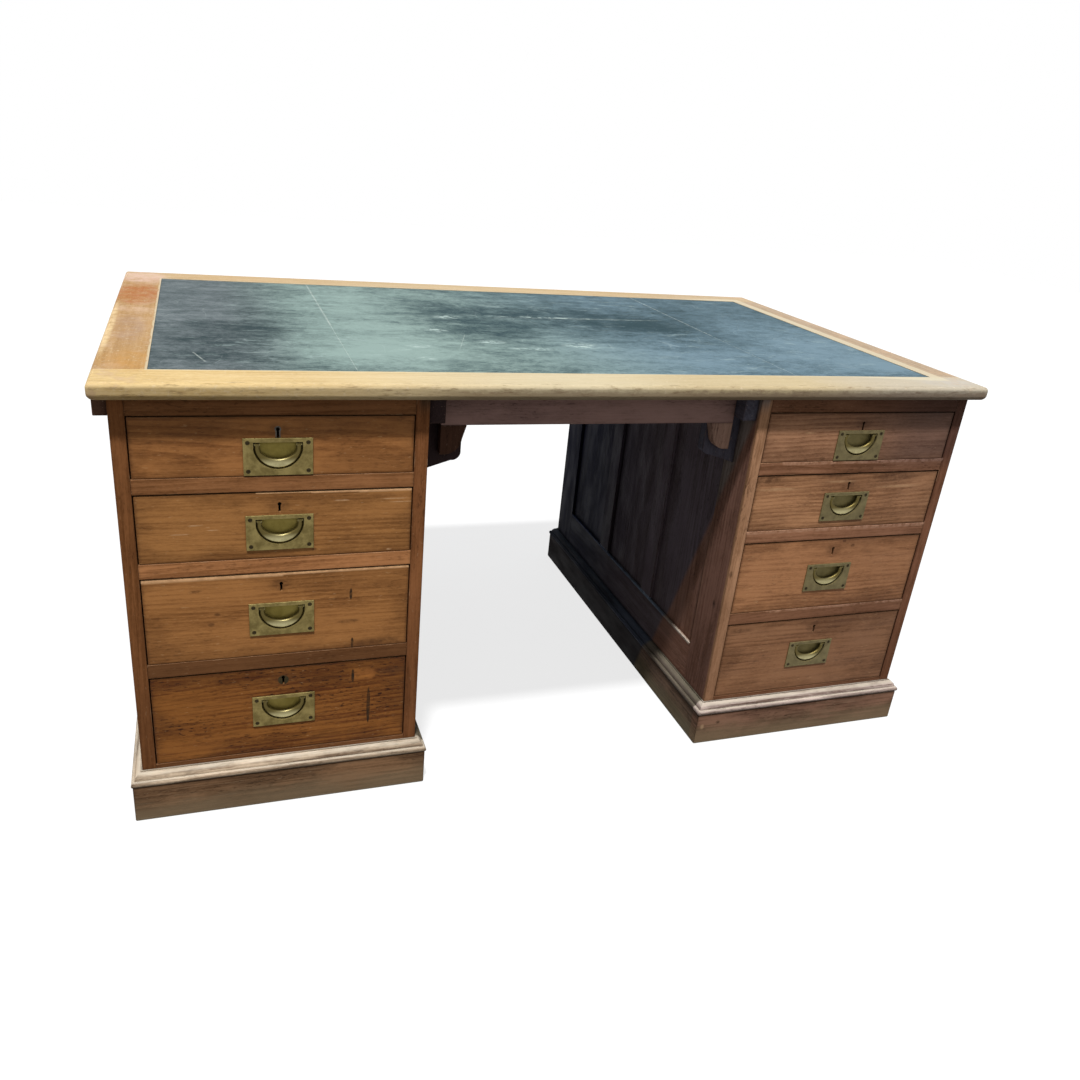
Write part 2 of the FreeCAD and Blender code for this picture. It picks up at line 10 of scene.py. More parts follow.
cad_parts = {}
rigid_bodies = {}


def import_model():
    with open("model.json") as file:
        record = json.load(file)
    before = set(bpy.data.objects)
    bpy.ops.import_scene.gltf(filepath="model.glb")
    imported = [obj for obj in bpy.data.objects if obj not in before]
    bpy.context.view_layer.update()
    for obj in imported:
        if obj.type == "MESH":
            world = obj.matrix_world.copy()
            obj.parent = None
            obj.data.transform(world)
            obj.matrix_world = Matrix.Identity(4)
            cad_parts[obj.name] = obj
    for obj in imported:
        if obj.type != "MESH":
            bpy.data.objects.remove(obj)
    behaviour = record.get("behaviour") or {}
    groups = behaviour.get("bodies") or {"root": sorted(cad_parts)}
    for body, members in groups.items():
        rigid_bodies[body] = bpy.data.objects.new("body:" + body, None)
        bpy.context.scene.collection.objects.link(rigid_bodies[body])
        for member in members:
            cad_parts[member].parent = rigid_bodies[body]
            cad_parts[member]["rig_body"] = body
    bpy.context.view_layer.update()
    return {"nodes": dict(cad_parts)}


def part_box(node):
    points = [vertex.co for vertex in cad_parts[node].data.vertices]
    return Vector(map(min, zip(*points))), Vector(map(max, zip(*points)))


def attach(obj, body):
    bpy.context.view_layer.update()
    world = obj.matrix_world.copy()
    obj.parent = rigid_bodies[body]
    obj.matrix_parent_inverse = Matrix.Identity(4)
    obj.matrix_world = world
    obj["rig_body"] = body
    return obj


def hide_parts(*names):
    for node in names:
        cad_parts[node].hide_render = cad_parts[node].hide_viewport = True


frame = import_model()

# Camera of the photograph
camera_place = (-0.6371, -1.8392, 1.1446)
camera_turn = (66.033, -5.378, -18.879)
camera_lens = 30.751

# Light: a soft key from above the sitter's left shoulder and a wide dim surround, cooler behind the desk
key_direction = (-0.12, -0.30, 0.93)
key_strength = 4.0
key_spread = 4.0
front_light = (0.32, 0.32, 0.32, 1.0)
back_light = (0.22, 0.23, 0.26, 1.0)
light_turn = 0.6
white = (1.0, 1.0, 1.0, 1.0)

# Floor: half its side, its gap under the plinths, its glow and the scale of its mottling
floor_half = 9.0
floor_drop = 0.0004
floor_glow = 0.78
floor_mottle = 3.0

# Pieces and places on the desk
sides = ("left", "right")
numbers = (1, 2, 3, 4)
leather_low, leather_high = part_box("writing_leather")
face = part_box("left_drawer_3_front")[0].y
rail_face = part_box("left_drawer_rails")[0].y
top_height = 0.77
knee_side = 0.306
frame_depth = 0.022
knee_wall = knee_side + frame_depth
front_stile_depth = 0.40
pedestal_middle = 0.54
apron_back = 0.385
bracket_top = 0.69

# Rounded edges of the boards, by the end of the node's name
edge_rounding = {
    "_front": 0.0016,
    "_side_frames": 0.0009,
    "_side_panels": 0.0005,
    "_back_panelling": 0.0009,
    "_drawer_rails": 0.0009,
    "_plinth_boards": 0.0016,
    "_box": 0.0008,
    "top_borders": 0.0007,
    "top_cleats": 0.0012,
    "knee_hole_aprons": 0.0012,
}
rounding_segments = 2
weld_digits = 5
flat_angle = math.radians(0.1)
sharp_angle = math.radians(32)
on_edge = 0.0001
board_variety = 0.07

# Least width of a handle plate, a lock case, an escutcheon and a screw
fitting_widths = (0.09, 0.05, 0.0075, 0.0)

# Leather skins: mesh cell, turned-down edge and ripple of the face
leather_cell = 0.010
leather_edge_steps = (0.0008, 0.002, 0.004, 0.007)
leather_edge_drop = 0.0007
leather_edge_reach = 0.0016
leather_ripple = 0.00012
leather_ripple_scale = 14.0
leather_ripple_stretch = 2


def tone(red, green, blue):
    """Linear colour of an 8-bit display colour."""
    values = [c / 255 for c in (red, green, blue)]
    return tuple(((c + 0.055) / 1.055) ** 2.4 if c > 0.04045 else c / 12.92 for c in values) + (1.0,)


# Numbers of the mix node's colour sockets
mix_share = 0
mix_first = 6
mix_second = 7
mix_result = 2


class Nodes:
    """A node tree in the making: each method adds nodes and returns an output socket."""

    def __init__(self, tree):
        self.tree = tree

    def feed(self, socket, value):
        """Link a socket, or set a plain value."""
        if isinstance(value, bpy.types.NodeSocket):
            self.tree.links.new(value, socket)
        else:
            socket.default_value = value

    def add(self, kind, inputs, output=0, **settings):
        """Any shader node."""
        node = self.tree.nodes.new("ShaderNode" + kind)
        for key, value in settings.items():
            setattr(node, key, value)
        for key, value in inputs.items():
            self.feed(node.inputs[key], value)
        return node.outputs[output]

    def math(self, operation, first, second=0.0):
        return self.add("Math", {0: first, 1: second}, operation=operation)

    def fold(self, operation, values):
        """One operation carried through several values."""
        result = values[0]
        for value in values[1:]:
            result = self.math(operation, result, value)
        return result

    def total(self, *values):
        return self.fold("ADD", values)

    def product(self, *values):
        return self.fold("MULTIPLY", values)

    def strongest(self, *values):
        """Largest of several values."""
        return self.fold("MAXIMUM", values)

    def minus(self, first, second):
        return self.math("SUBTRACT", first, second)

    def absolute(self, value):
        """A value without its sign."""
        return self.math("ABSOLUTE", value)

    def centred(self, value):
        """A value from 0 to 1, moved to lie about 0."""
        return self.minus(value, 0.5)

    def draw(self, seed, factor):
        """A number from 0 to 1 that a seed settles."""
        return self.math("FRACT", self.product(seed, factor))

    def vector_math(self, operation, first, second=(0.0, 0.0, 0.0)):
        return self.add("VectorMath", {0: first, 1: second}, operation=operation)

    def length(self, vector):
        return self.add("VectorMath", {0: vector}, "Value", operation="LENGTH")

    def dot(self, first, second):
        return self.add("VectorMath", {0: first, 1: second}, "Value", operation="DOT_PRODUCT")

    def split(self, vector):
        node = self.tree.nodes.new("ShaderNodeSeparateXYZ")
        self.feed(node.inputs[0], vector)
        return node.outputs[0], node.outputs[1], node.outputs[2]

    def join(self, x, y, z):
        return self.add("CombineXYZ", {0: x, 1: y, 2: z})

    def step(self, value, low, high, start=0.0, end=1.0):
        """Smooth step of a value from low to high."""
        inputs = {"Value": value, "From Min": low, "From Max": high, "To Min": start, "To Max": end}
        return self.add("MapRange", inputs, interpolation_type="SMOOTHSTEP")

    def mix(self, share, first, second, blend="MIX"):
        """Two colours mixed by a share."""
        inputs = {mix_share: share, mix_first: first, mix_second: second}
        return self.add("Mix", inputs, mix_result, data_type="RGBA", blend_type=blend)

    def blend(self, weights):
        """Weighted sum of values from 0 to 1, each about its middle."""
        result = 0.5 - sum(weight / 2 for _, weight in weights)
        for value, weight in weights:
            result = self.total(self.product(value, weight), result)
        return result

    def noise(self, vector, scale, detail, roughness=0.55):
        inputs = {"Vector": vector, "Scale": scale, "Detail": detail, "Roughness": roughness}
        return self.add("TexNoise", inputs)

    def stretched(self, vector, scales, detail, roughness=0.55):
        """Noise with its own scale on each axis."""
        return self.noise(self.vector_math("MULTIPLY", vector, scales), 1.0, detail, roughness)

    def grained(self, grain, along, across, detail, roughness=0.55):
        """Noise with one scale along the grain and another across it."""
        return self.stretched(grain, (along, across, across), detail, roughness)

    def rays_seen(self):
        """1 for rays that show the background to the eye, directly, mirrored or through glass."""
        path = self.tree.nodes.new("ShaderNodeLightPath")
        kinds = ("Camera", "Glossy", "Transmission")
        return self.strongest(*(path.outputs[f"Is {kind} Ray"] for kind in kinds))


class Shader(Nodes):
    """The nodes of one material."""

    def __init__(self, name):
        self.material = bpy.data.materials.new(name)
        self.material.use_nodes = True
        super().__init__(self.material.node_tree)
        self.surface = self.tree.nodes["Principled BSDF"]

    def attribute(self, name, output="Vector"):
        return self.add("Attribute", {}, output, attribute_name=name)

    def place(self):
        """Position on the piece at rest, in metres."""
        return self.add("TexCoord", {}, "Object")

    def spot(self, place, centre, half_sizes, inner):
        """1 inside an ellipsoid, falling to 0 at its surface."""
        offset = self.vector_math("SUBTRACT", place, centre)
        reach = self.length(self.vector_math("DIVIDE", offset, half_sizes))
        return self.step(reach, inner, 1.0, 1.0, 0.0)

    def stroke(self, place, start, end, half_width):
        """1 along a straight scratch, falling to 0 at its sides."""
        run = Vector(end) - Vector(start)
        offset = self.vector_math("SUBTRACT", place, start)
        share = self.add("Clamp", {0: self.math("DIVIDE", self.dot(offset, run), run.length_squared)})
        nearest = self.vector_math("MULTIPLY", self.join(share, share, share), run)
        reach = self.length(self.vector_math("SUBTRACT", offset, nearest))
        return self.step(reach, half_width / 3, half_width, 1.0, 0.0)

    def bump(self, height, strength, distance):
        return self.add("Bump", {"Height": height, "Strength": strength, "Distance": distance})

    def finish(self, **sockets):
        """Feed the surface shader and hand over the material."""
        for name, value in sockets.items():
            self.feed(self.surface.inputs[name.replace("_", " ")], value)
        return self.material


# Wood: the log each board is sawn from, with its rings and the place of its pith
ring_spacing = 0.008
ring_drift = 0.06
ring_ripple = 0.014
pith_side = 0.22
pith_depth = 0.07
pith_least = 0.02
pith_tilt = 0.16

# How a board's seed moves its grain and settles its pith's side, depth and tilt
grain_shift = (37.0, 11.0, 5.0)
side_draw = 7.31
depth_draw = 13.7
tilt_draw = 23.9

# Wear of the boards: grit, nicks, dark rim, grime, bare edge, dust with a painted highlight, creases
# darkened by grime and painted shade, and marks
grit_share = 0.6
nick_share = 0.3
rim_width = 0.045
rim_waver = 0.22
grime_waver = 1.6
bare_width = 0.0006
bare_waver = (-0.001, 0.0012)
dust_and_highlight_turn = 0.4
crease_shade_and_grime_reach = 0.010
mark_scale = 80.0
wood_relief = 0.0004


def board_fields(s):
    """Position in the board and in the grain, the board's seed and the distance to its nearest edge."""
    local = s.attribute("local")
    seed = s.attribute("seed", "Fac")
    shift = s.vector_math("MULTIPLY", s.join(seed, seed, seed), grain_shift)
    grain = s.vector_math("ADD", local, shift)
    gap = s.vector_math("SUBTRACT", s.attribute("half"), s.vector_math("ABSOLUTE", local))
    x, y, z = s.split(gap)
    low = s.math("MINIMUM", x, y)
    high = s.strongest(x, y)
    edge = s.strongest(low, s.math("MINIMUM", high, z))
    return local, grain, seed, edge


def ring_lines(s, local, grain, seed):
    """Late wood lines of a board sawn beside the pith of its log, from 0 to 1."""
    along, across, through = s.split(local)
    drift = s.centred(s.grained(grain, 1.3, 3.0, 2.0))
    ripple = s.centred(s.grained(grain, 6.0, 26.0, 3.0))
    side = s.centred(s.draw(seed, side_draw))
    depth = s.draw(seed, depth_draw)
    tilt = s.centred(s.draw(seed, tilt_draw))
    offset = s.total(s.product(side, pith_side), s.product(drift, ring_drift))
    across = s.total(across, offset, s.product(ripple, ring_ripple))
    below = s.total(s.product(depth, pith_depth), pith_least, s.product(along, tilt, pith_tilt), through)
    radius = s.length(s.join(across, below, 0.0))
    turn = s.math("FRACT", s.math("DIVIDE", radius, ring_spacing))
    rise = s.step(turn, 0.10, 0.86)
    fall = s.step(turn, 0.88, 1.0, 1.0, 0.0)
    patch = s.step(s.grained(grain, 3.0, 9.0, 2.0), 0.35, 0.65, 0.15, 1.0)
    return s.product(rise, fall, patch)


def wood(
    name, pale, dark, deep, worn, rough, gloss, ring_share=0.3, streak_share=1.0, cloud_share=1.0,
    fleck_share=0.5, smear_share=0.3, grime_share=0.4, grime_reach=0.005, crease_shade_and_grime_share=0.6, rim_share=0.35,
    worn_share=0.35, dust_and_highlight_share=0.3, dust_and_highlight_slope=0.25, marks=(), covers=(),
):
    """Old varnished board: rings, streaks and clouds in its grain, flecks, nicks, grime, rubbed edges."""
    s = Shader(name)
    place = s.place()
    local, grain, seed, edge = board_fields(s)
    rings = ring_lines(s, local, grain, seed)
    broad = s.grained(grain, 0.9, 30.0, 4.0, 0.6)
    fine = s.grained(grain, 2.4, 150.0, 4.0, 0.62)
    fibre = s.grained(grain, 18.0, 600.0, 3.0, 0.6)
    cloud = s.grained(grain, 5.0, 12.0, 5.0, 0.65)
    grit = s.grained(grain, 130.0, 330.0, 3.0, 0.7)
    level = s.blend([
        (broad, 0.75 * streak_share), (fine, 1.1 * streak_share), (fibre, 0.8 * streak_share),
        (cloud, cloud_share), (grit, grit_share), (rings, -ring_share),
    ])
    colour = s.mix(s.step(level, 0.05, 0.85), dark, pale)
    zone = s.step(cloud, 0.40, 0.58, 1.0, 0.1)
    fleck = s.step(s.grained(grain, 75.0, 300.0, 3.0, 0.62), 0.55, 0.65)
    smear = s.step(s.grained(grain, 9.0, 70.0, 5.0, 0.68), 0.54, 0.70)
    stains = s.strongest(s.product(fleck, zone), s.product(smear, smear_share))
    colour = s.mix(s.product(stains, fleck_share), colour, deep)
    colour = s.mix(1.0, colour, s.attribute("shade"), "MULTIPLY")
    rub = s.grained(grain, 26.0, 150.0, 4.0, 0.65)
    rim = s.total(edge, s.product(s.centred(cloud), rim_waver))
    colour = s.mix(s.step(rim, 0.0, rim_width, rim_share, 0.0), colour, deep)
    margin = s.minus(edge, s.product(s.centred(rub), grime_reach * grime_waver))
    colour = s.mix(s.step(margin, 0.0, grime_reach, grime_share, 0.0), colour, deep)
    nick = s.step(s.grained(grain, 80.0, 300.0, 2.0, 0.6), 0.65, 0.74)
    colour = s.mix(s.product(nick, nick_share), colour, worn)
    bare = s.minus(edge, s.step(rub, 0.45, 0.70, *bare_waver))
    bare = s.step(bare, 0.0, bare_width, worn_share, 0.0)
    # Dust and a painted highlight: upward faces paler
    upward = s.step(s.split(s.add("NewGeometry", {}, "Normal"))[2], dust_and_highlight_slope, dust_and_highlight_slope + dust_and_highlight_turn)
    dust_and_highlight = s.product(upward, s.step(rub, 0.30, 0.60, 0.4, 1.0), dust_and_highlight_share)
    colour = s.mix(s.strongest(bare, dust_and_highlight), colour, worn)
    for tint, shares, spots, strokes in marks:
        shapes = [s.spot(place, *spot) for spot in spots] + [s.stroke(place, *stroke) for stroke in strokes]
        ragged = s.step(s.noise(place, mark_scale, 6.0, 0.7), 0.36, 0.62, *shares)
        colour = s.mix(s.product(s.strongest(*shapes), ragged), colour, tint)
    for cover in covers:
        colour = cover(s, colour, place, grain)
    # Grime and painted shade: darker where nearby surfaces close in, found by ambient occlusion
    crease_shade_and_grime = s.add("AmbientOcclusion", {"Distance": crease_shade_and_grime_reach}, "AO", samples=5)
    creased = s.mix(0.8, colour, deep, "MULTIPLY")
    colour = s.mix(s.step(crease_shade_and_grime, 0.45, 0.95, crease_shade_and_grime_share, 0.0), colour, creased)
    relief = s.blend([(fibre, 0.5), (rings, 0.3), (fleck, -0.5)])
    shine = s.step(s.grained(grain, 11.0, 36.0, 3.0), 0.3, 0.7, rough - 0.09, rough + 0.12)
    return s.finish(
        Base_Color=colour, Roughness=shine, Specular_IOR_Level=gloss,
        Normal=s.bump(relief, 0.35, wood_relief),
    )


# Covers: what lies over the wood of some boards, each a function of the shader, colour, place and grain

# Dust near the floor and the darkening towards it: heights and how far each wavers
dust_heights = (-0.020, 0.035)
dust_waver = 0.05
chafe_heights = (0.0, 0.003)
chafe_waver = 0.12
darkening_heights = (-0.02, 0.32)
darkening_waver = 0.3

# Shade of the top's front edge on the knee hole's sides: start as depth and height, lean and softness
shade_start = (-0.459, 0.752)
shade_lean = 0.399
shade_reach = 0.008

# Depths on the knee hole's sides: start and soft end of the painted shade strip near the front, and the way
# to the rear
near_shade_start = (-0.446, -0.440)
near_shade_fade = 0.01
rear_run = (-0.15, 0.25)

# Painted shade at the right end: its run along the desk, the lower edge of the top drawer and the colour it
# leaves
right_shade_run = (0.44, 0.70)
right_shade_heights = (0.58, 0.64)
right_shade_cast = (0.46, 0.49, 0.64, 1.0)


def dusty_foot(s, colour, place, grain):
    """Grey dust and scrapes that rise from the floor, with a pale chafed bottom edge."""
    height = s.split(place)[2]
    wave = s.product(s.grained(grain, 12.0, 30.0, 4.0), dust_waver)
    dust = s.step(s.minus(height, wave), *dust_heights, 0.7, 0.0)
    colour = s.mix(dust, colour, tone(138, 118, 92))
    scrape = s.step(s.grained(grain, 6.0, 160.0, 4.0, 0.7), 0.56, 0.70)
    colour = s.mix(s.product(scrape, 0.3), colour, tone(140, 122, 98))
    chafe = s.step(s.minus(height, s.product(wave, chafe_waver)), *chafe_heights, 0.6, 0.0)
    return s.mix(chafe, colour, tone(150, 132, 106))


def darker_towards_floor(s, colour, place, grain):
    """Darkens the pedestals towards the floor."""
    height = s.split(place)[2]
    wave = s.product(s.noise(place, 7.0, 4.0, 0.6), darkening_waver)
    dirt = s.step(s.minus(height, wave), *darkening_heights, 0.4, 0.0)
    return s.mix(dirt, colour, tone(86, 54, 34))


def knee_shade(near, near_end, deep, rear):
    """Cover for the knee hole's faces: painted shade on a strip near the front, darker painted shade behind
    the top's shade.
    """

    def cover(s, colour, place, grain):
        x, y, z = s.split(place)
        inner = s.step(s.absolute(x), knee_wall - frame_depth / 2, knee_wall, 1.0, 0.0)
        start_y, start_z = shade_start
        edge = s.total(s.product(z, -shade_lean), start_y + start_z * shade_lean)
        depth = s.step(s.minus(y, edge), -shade_reach, shade_reach)
        # Painted shade: the near tone on the front strip, then the deep and rear tones behind the line of
        # the top's shade
        strip_end = s.step(y, near_end - near_shade_fade, near_end, 1.0, 0.0)
        near_shade = s.product(s.step(y, *near_shade_start), strip_end)
        far = s.mix(s.step(y, *rear_run), deep, rear)
        share = s.mix(depth, s.mix(near_shade, white, near), far)
        return s.mix(inner, colour, s.mix(1.0, colour, share, "MULTIPLY"))

    return cover


def painted_right_end_shade(s, colour, place, grain):
    """Painted shade that darkens to the right end, most of all on the top drawer."""
    x, _, z = s.split(place)
    end = s.step(x, *right_shade_run)
    top = s.step(z, *right_shade_heights, 0.28, 1.0)
    shaded_colour = s.mix(1.0, colour, right_shade_cast, "MULTIPLY")
    return s.mix(s.product(end, top), colour, shaded_colour)


# Border of the top: runs along the desk over which its tone changes in painted cool light, and its cream
# inner edge with a painted highlight
cool_light_run = (-0.66, -0.05)
straw_run = (-0.05, 0.20)
grey_run = (0.36, 0.60)
cream_run = (0.5, 0.72)
cream_widths = (0.003, 0.026)
cream_waver = 0.002
cream_fade = (-0.001, 0.002)

# Its boards: back of the front board, inner edge of the end boards and start of the rounded nose
front_board_back = (-0.40, -0.39)
end_boards = (0.715, 0.725)
nose_start = (-0.455, -0.462)

# Grime under the nose: heights, and the runs over which it grows and turns greyer
under_heights = (0.756, 0.766)
under_waver = 0.018
under_growth = ((-0.36, -0.22, 0.24, 1.16), (0.08, 0.20, 1.0, 1.2))
under_run = (-0.5, 0.4)

# Half depth of the patches on the border
patch_depth = 0.05


def on_top(x, y, half_x, half_y, inner):
    """Spot on the top's border."""
    return (x, y, top_height), (half_x, half_y, patch_depth), inner


# Patches on the border: tint, strongest share and spot
top_patches = [
    (tone(206, 176, 160), 0.75, on_top(-0.757, 0.400, 0.060, 0.090, 0.5)),
    (tone(158, 92, 48), 0.75, on_top(-0.757, 0.205, 0.055, 0.130, 0.6)),
    (tone(196, 164, 136), 0.70, on_top(-0.765, 0.050, 0.050, 0.028, 0.4)),
    (tone(158, 130, 108), 0.60, on_top(-0.757, -0.110, 0.034, 0.150, 0.4)),
    (tone(222, 196, 150), 0.80, on_top(-0.790, -0.100, 0.010, 0.260, 0.4)),
    (tone(186, 138, 74), 0.55, on_top(-0.740, -0.340, 0.060, 0.090, 0.3)),
    (tone(182, 176, 166), 0.80, on_top(0.740, -0.430, 0.120, 0.060, 0.2)),
]


def top_wear_and_cool_light(s, colour, place, grain):
    """Golden polish that pales and greys to the right in painted cool light, rubbed in patches, cream
    beside the leather as a painted highlight, grimy below.
    """
    x, y, z = s.split(place)
    # Painted cool light: paler and greyer to the right
    cool_light_share = s.product(s.step(x, *cool_light_run, 0.0, 0.9), s.step(y, *front_board_back, 1.0, 0.3))
    cool_light_tone = s.mix(s.step(x, *straw_run), tone(194, 185, 159), tone(181, 168, 138))
    cool_light_tone = s.mix(s.step(x, *grey_run), cool_light_tone, tone(172, 168, 158))
    colour = s.mix(cool_light_share, colour, s.mix(0.2, cool_light_tone, colour))
    rubbed = s.step(s.noise(place, 24.0, 6.0, 0.7), 0.48, 0.62)
    ends = s.step(s.absolute(x), *end_boards)
    colour = s.mix(s.product(rubbed, ends, 0.5), colour, tone(188, 158, 128))
    for tint, share, spot in top_patches:
        torn = s.step(s.noise(place, 40.0, 6.0, 0.7), 0.35, 0.60, share / 3, share)
        colour = s.mix(s.product(s.spot(place, *spot), torn), colour, tint)
    speck = s.step(s.noise(place, 130.0, 4.0, 0.7), 0.56, 0.70)
    colour = s.mix(s.product(speck, 0.4), colour, tone(214, 198, 168))
    soil = s.step(s.grained(grain, 34.0, 170.0, 5.0, 0.72), 0.52, 0.68)
    soil = s.product(soil, s.step(y, *nose_start, 0.1, 0.55))
    colour = s.mix(soil, colour, tone(112, 86, 56))
    # Painted highlight: a cream line along the border's inner edge beside the leather
    beyond_end = s.minus(s.absolute(x), leather_high.x)
    beyond_side = s.minus(s.absolute(y), leather_high.y)
    from_skin = s.total(s.strongest(beyond_end, beyond_side), s.product(rubbed, cream_waver))
    cream_width = s.step(x, *cream_run, *cream_widths)
    inner_edge_highlight = s.step(s.minus(from_skin, cream_width), *cream_fade, 0.65, 0.0)
    colour = s.mix(inner_edge_highlight, colour, tone(204, 194, 166))
    spread = s.product(s.centred(s.grained(grain, 60.0, 160.0, 5.0, 0.7)), under_waver)
    under = s.step(s.total(z, spread), *under_heights, 0.5, 0.0)
    under = s.product(under, *(s.step(x, *growth) for growth in under_growth))
    grime = s.mix(s.step(x, *under_run), tone(104, 76, 46), tone(108, 90, 76))
    return s.mix(under, colour, grime)


# Bloom and painted sheen on the leather: centre, half sizes and weight of each soft patch
bloom_and_sheen_patches = [
    ((-0.34, 0.04), (0.20, 0.60), 0.42),
    ((-0.33, -0.26), (0.24, 0.20), 0.28),
    ((0.15, -0.30), (0.55, 0.20), 0.30),
    ((0.62, -0.20), (0.24, 0.30), 0.48),
    ((0.68, -0.31), (0.10, 0.08), 0.40),
    ((-0.62, 0.25), (0.18, 0.30), 0.12),
    ((-0.60, -0.22), (0.15, 0.20), -0.22),
    ((-0.55, -0.07), (0.15, 0.09), -0.28),
    ((0.05, 0.12), (0.50, 0.22), -0.36),
    ((0.27, 0.00), (0.24, 0.17), -0.26),
    ((-0.10, -0.04), (0.14, 0.12), -0.22),
]

# Flaked scuffs: centre and half sizes
leather_scuffs = [
    ((-0.271, -0.207), (0.034, 0.016)),
    ((-0.278, -0.296), (0.022, 0.016)),
    ((-0.306, -0.232), (0.018, 0.012)),
    ((-0.210, -0.067), (0.030, 0.022)),
    ((-0.156, 0.064), (0.040, 0.024)),
    ((-0.123, -0.162), (0.040, 0.018)),
    ((-0.058, -0.213), (0.060, 0.016)),
    ((0.054, -0.180), (0.050, 0.034)),
    ((0.100, 0.090), (0.280, 0.008)),
]

# Scratches and pale seams: start, end and half width
leather_scratches = [
    ((-0.655, -0.281), (-0.638, -0.338), 0.0022),
    ((-0.41, 0.385), (-0.41, -0.05), 0.0026),
    ((-0.41, -0.05), (-0.41, -0.39), 0.0010),
    ((0.41, 0.385), (0.41, -0.05), 0.0022),
    ((0.41, -0.05), (0.41, -0.39), 0.0008),
    ((-0.05, 0.072), (0.36, 0.098), 0.0018),
    ((-0.20, -0.22), (-0.16, -0.10), 0.0010),
]

# Leather's tones: runs along the desk over which the dark, then the pale tone of the bloom and painted
# sheen changes
dark_run = (-0.60, -0.25)
green_run = (-0.62, -0.45)
blue_run = (-0.20, 0.30)

# Leather's grain: sway of the streaks, hair-fine scratches and pebble
sway_scale = 9.0
sway_reach = (0.05, 0.03, 0.0)
hair_scales = ((5.0, 3.0, 1.0), (2.0, 7.0, 1.0))
hair_width = 0.004
pebble_scale = 1400.0
pebble_relief = 0.0003


def leather():
    """Slate-black skiver: streaked along the desk, pale in blotches of bloom and painted sheen, scuffed,
    with pale seams.
    """
    s = Shader("slate_leather")
    place = s.place()
    x, y, _ = s.split(place)
    flat = s.join(x, y, 0.0)
    sway = s.add("TexNoise", {"Vector": place, "Scale": sway_scale, "Detail": 3.0}, "Color")
    sway = s.vector_math("SUBTRACT", sway, (0.5, 0.5, 0.5))
    bent = s.vector_math("ADD", place, s.vector_math("MULTIPLY", sway, sway_reach))
    streak = s.stretched(bent, (4.0, 24.0, 1.0), 6.0, 0.66)
    cloud = s.stretched(bent, (3.4, 6.0, 1.0), 4.0, 0.6)
    blotch = s.stretched(bent, (17.0, 30.0, 1.0), 6.0, 0.7)
    mottle = s.stretched(bent, (70.0, 100.0, 1.0), 5.0, 0.75)
    grit = s.stretched(place, (240.0, 330.0, 1.0), 3.0, 0.7)
    # Pale bloom and painted sheen
    bloom_and_sheen = s.blend([(streak, 0.7), (cloud, 0.8), (blotch, 1.15), (mottle, 1.0), (grit, 0.5)])
    for centre, half_sizes, weight in bloom_and_sheen_patches:
        patch = s.spot(flat, (*centre, 0.0), (*half_sizes, 1.0), 0.0)
        bloom_and_sheen = s.total(bloom_and_sheen, s.product(patch, weight))
    dark = s.mix(s.step(x, *dark_run), tone(12, 38, 42), tone(0, 42, 50))
    pale = s.mix(s.step(x, *green_run), tone(118, 126, 128), tone(134, 154, 148))
    pale = s.mix(s.step(x, *blue_run), pale, tone(107, 129, 140))
    colour = s.mix(s.step(bloom_and_sheen, -0.05, 1.10), dark, pale)
    scuff = s.step(s.stretched(bent, (18.0, 50.0, 1.0), 6.0, 0.72), 0.54, 0.68)
    zone = s.step(s.stretched(place, (2.6, 6.0, 1.0), 3.0), 0.46, 0.62, 0.1, 0.5)
    colour = s.mix(s.product(scuff, zone, 0.7), colour, tone(164, 182, 178))
    rubs = s.strongest(*(s.spot(flat, (*c, 0.0), (*h, 1.0), 0.2) for c, h in leather_scuffs))
    flaked = s.step(s.stretched(bent, (48.0, 84.0, 1.0), 6.0, 0.72), 0.44, 0.60)
    colour = s.mix(s.product(rubs, flaked, 0.8), colour, tone(182, 200, 194))
    scratch = s.strongest(*(s.stroke(flat, (*a, 0.0), (*b, 0.0), w) for a, b, w in leather_scratches))
    broken = s.step(s.noise(place, 90.0, 4.0, 0.7), 0.35, 0.60, 0.1, 0.42)
    colour = s.mix(s.product(scratch, broken), colour, tone(190, 198, 190))
    threads = [s.absolute(s.centred(s.stretched(place, scales, 2.0))) for scales in hair_scales]
    hair = s.strongest(*(s.step(thread, 0.0, hair_width, 1.0, 0.0) for thread in threads))
    colour = s.mix(s.product(hair, s.step(blotch, 0.45, 0.60), 0.16), colour, tone(176, 190, 186))
    pebble = s.noise(place, pebble_scale, 2.0)
    rough = s.step(bloom_and_sheen, 0.0, 1.0, 0.46, 0.64)
    return s.finish(
        Base_Color=colour, Roughness=rough, Specular_IOR_Level=0.03,
        Normal=s.bump(pebble, 0.25, pebble_relief),
    )


# Metal: depths of the plates' dishes behind the rails, where a painted reflection lies, the change from
# left to right in painted cool light, and rubbed edges
dish_depths = (0.002, 0.006)
cool_run = (-0.1, 0.1)
rub_radius = 0.0012
metal_relief = 0.0002


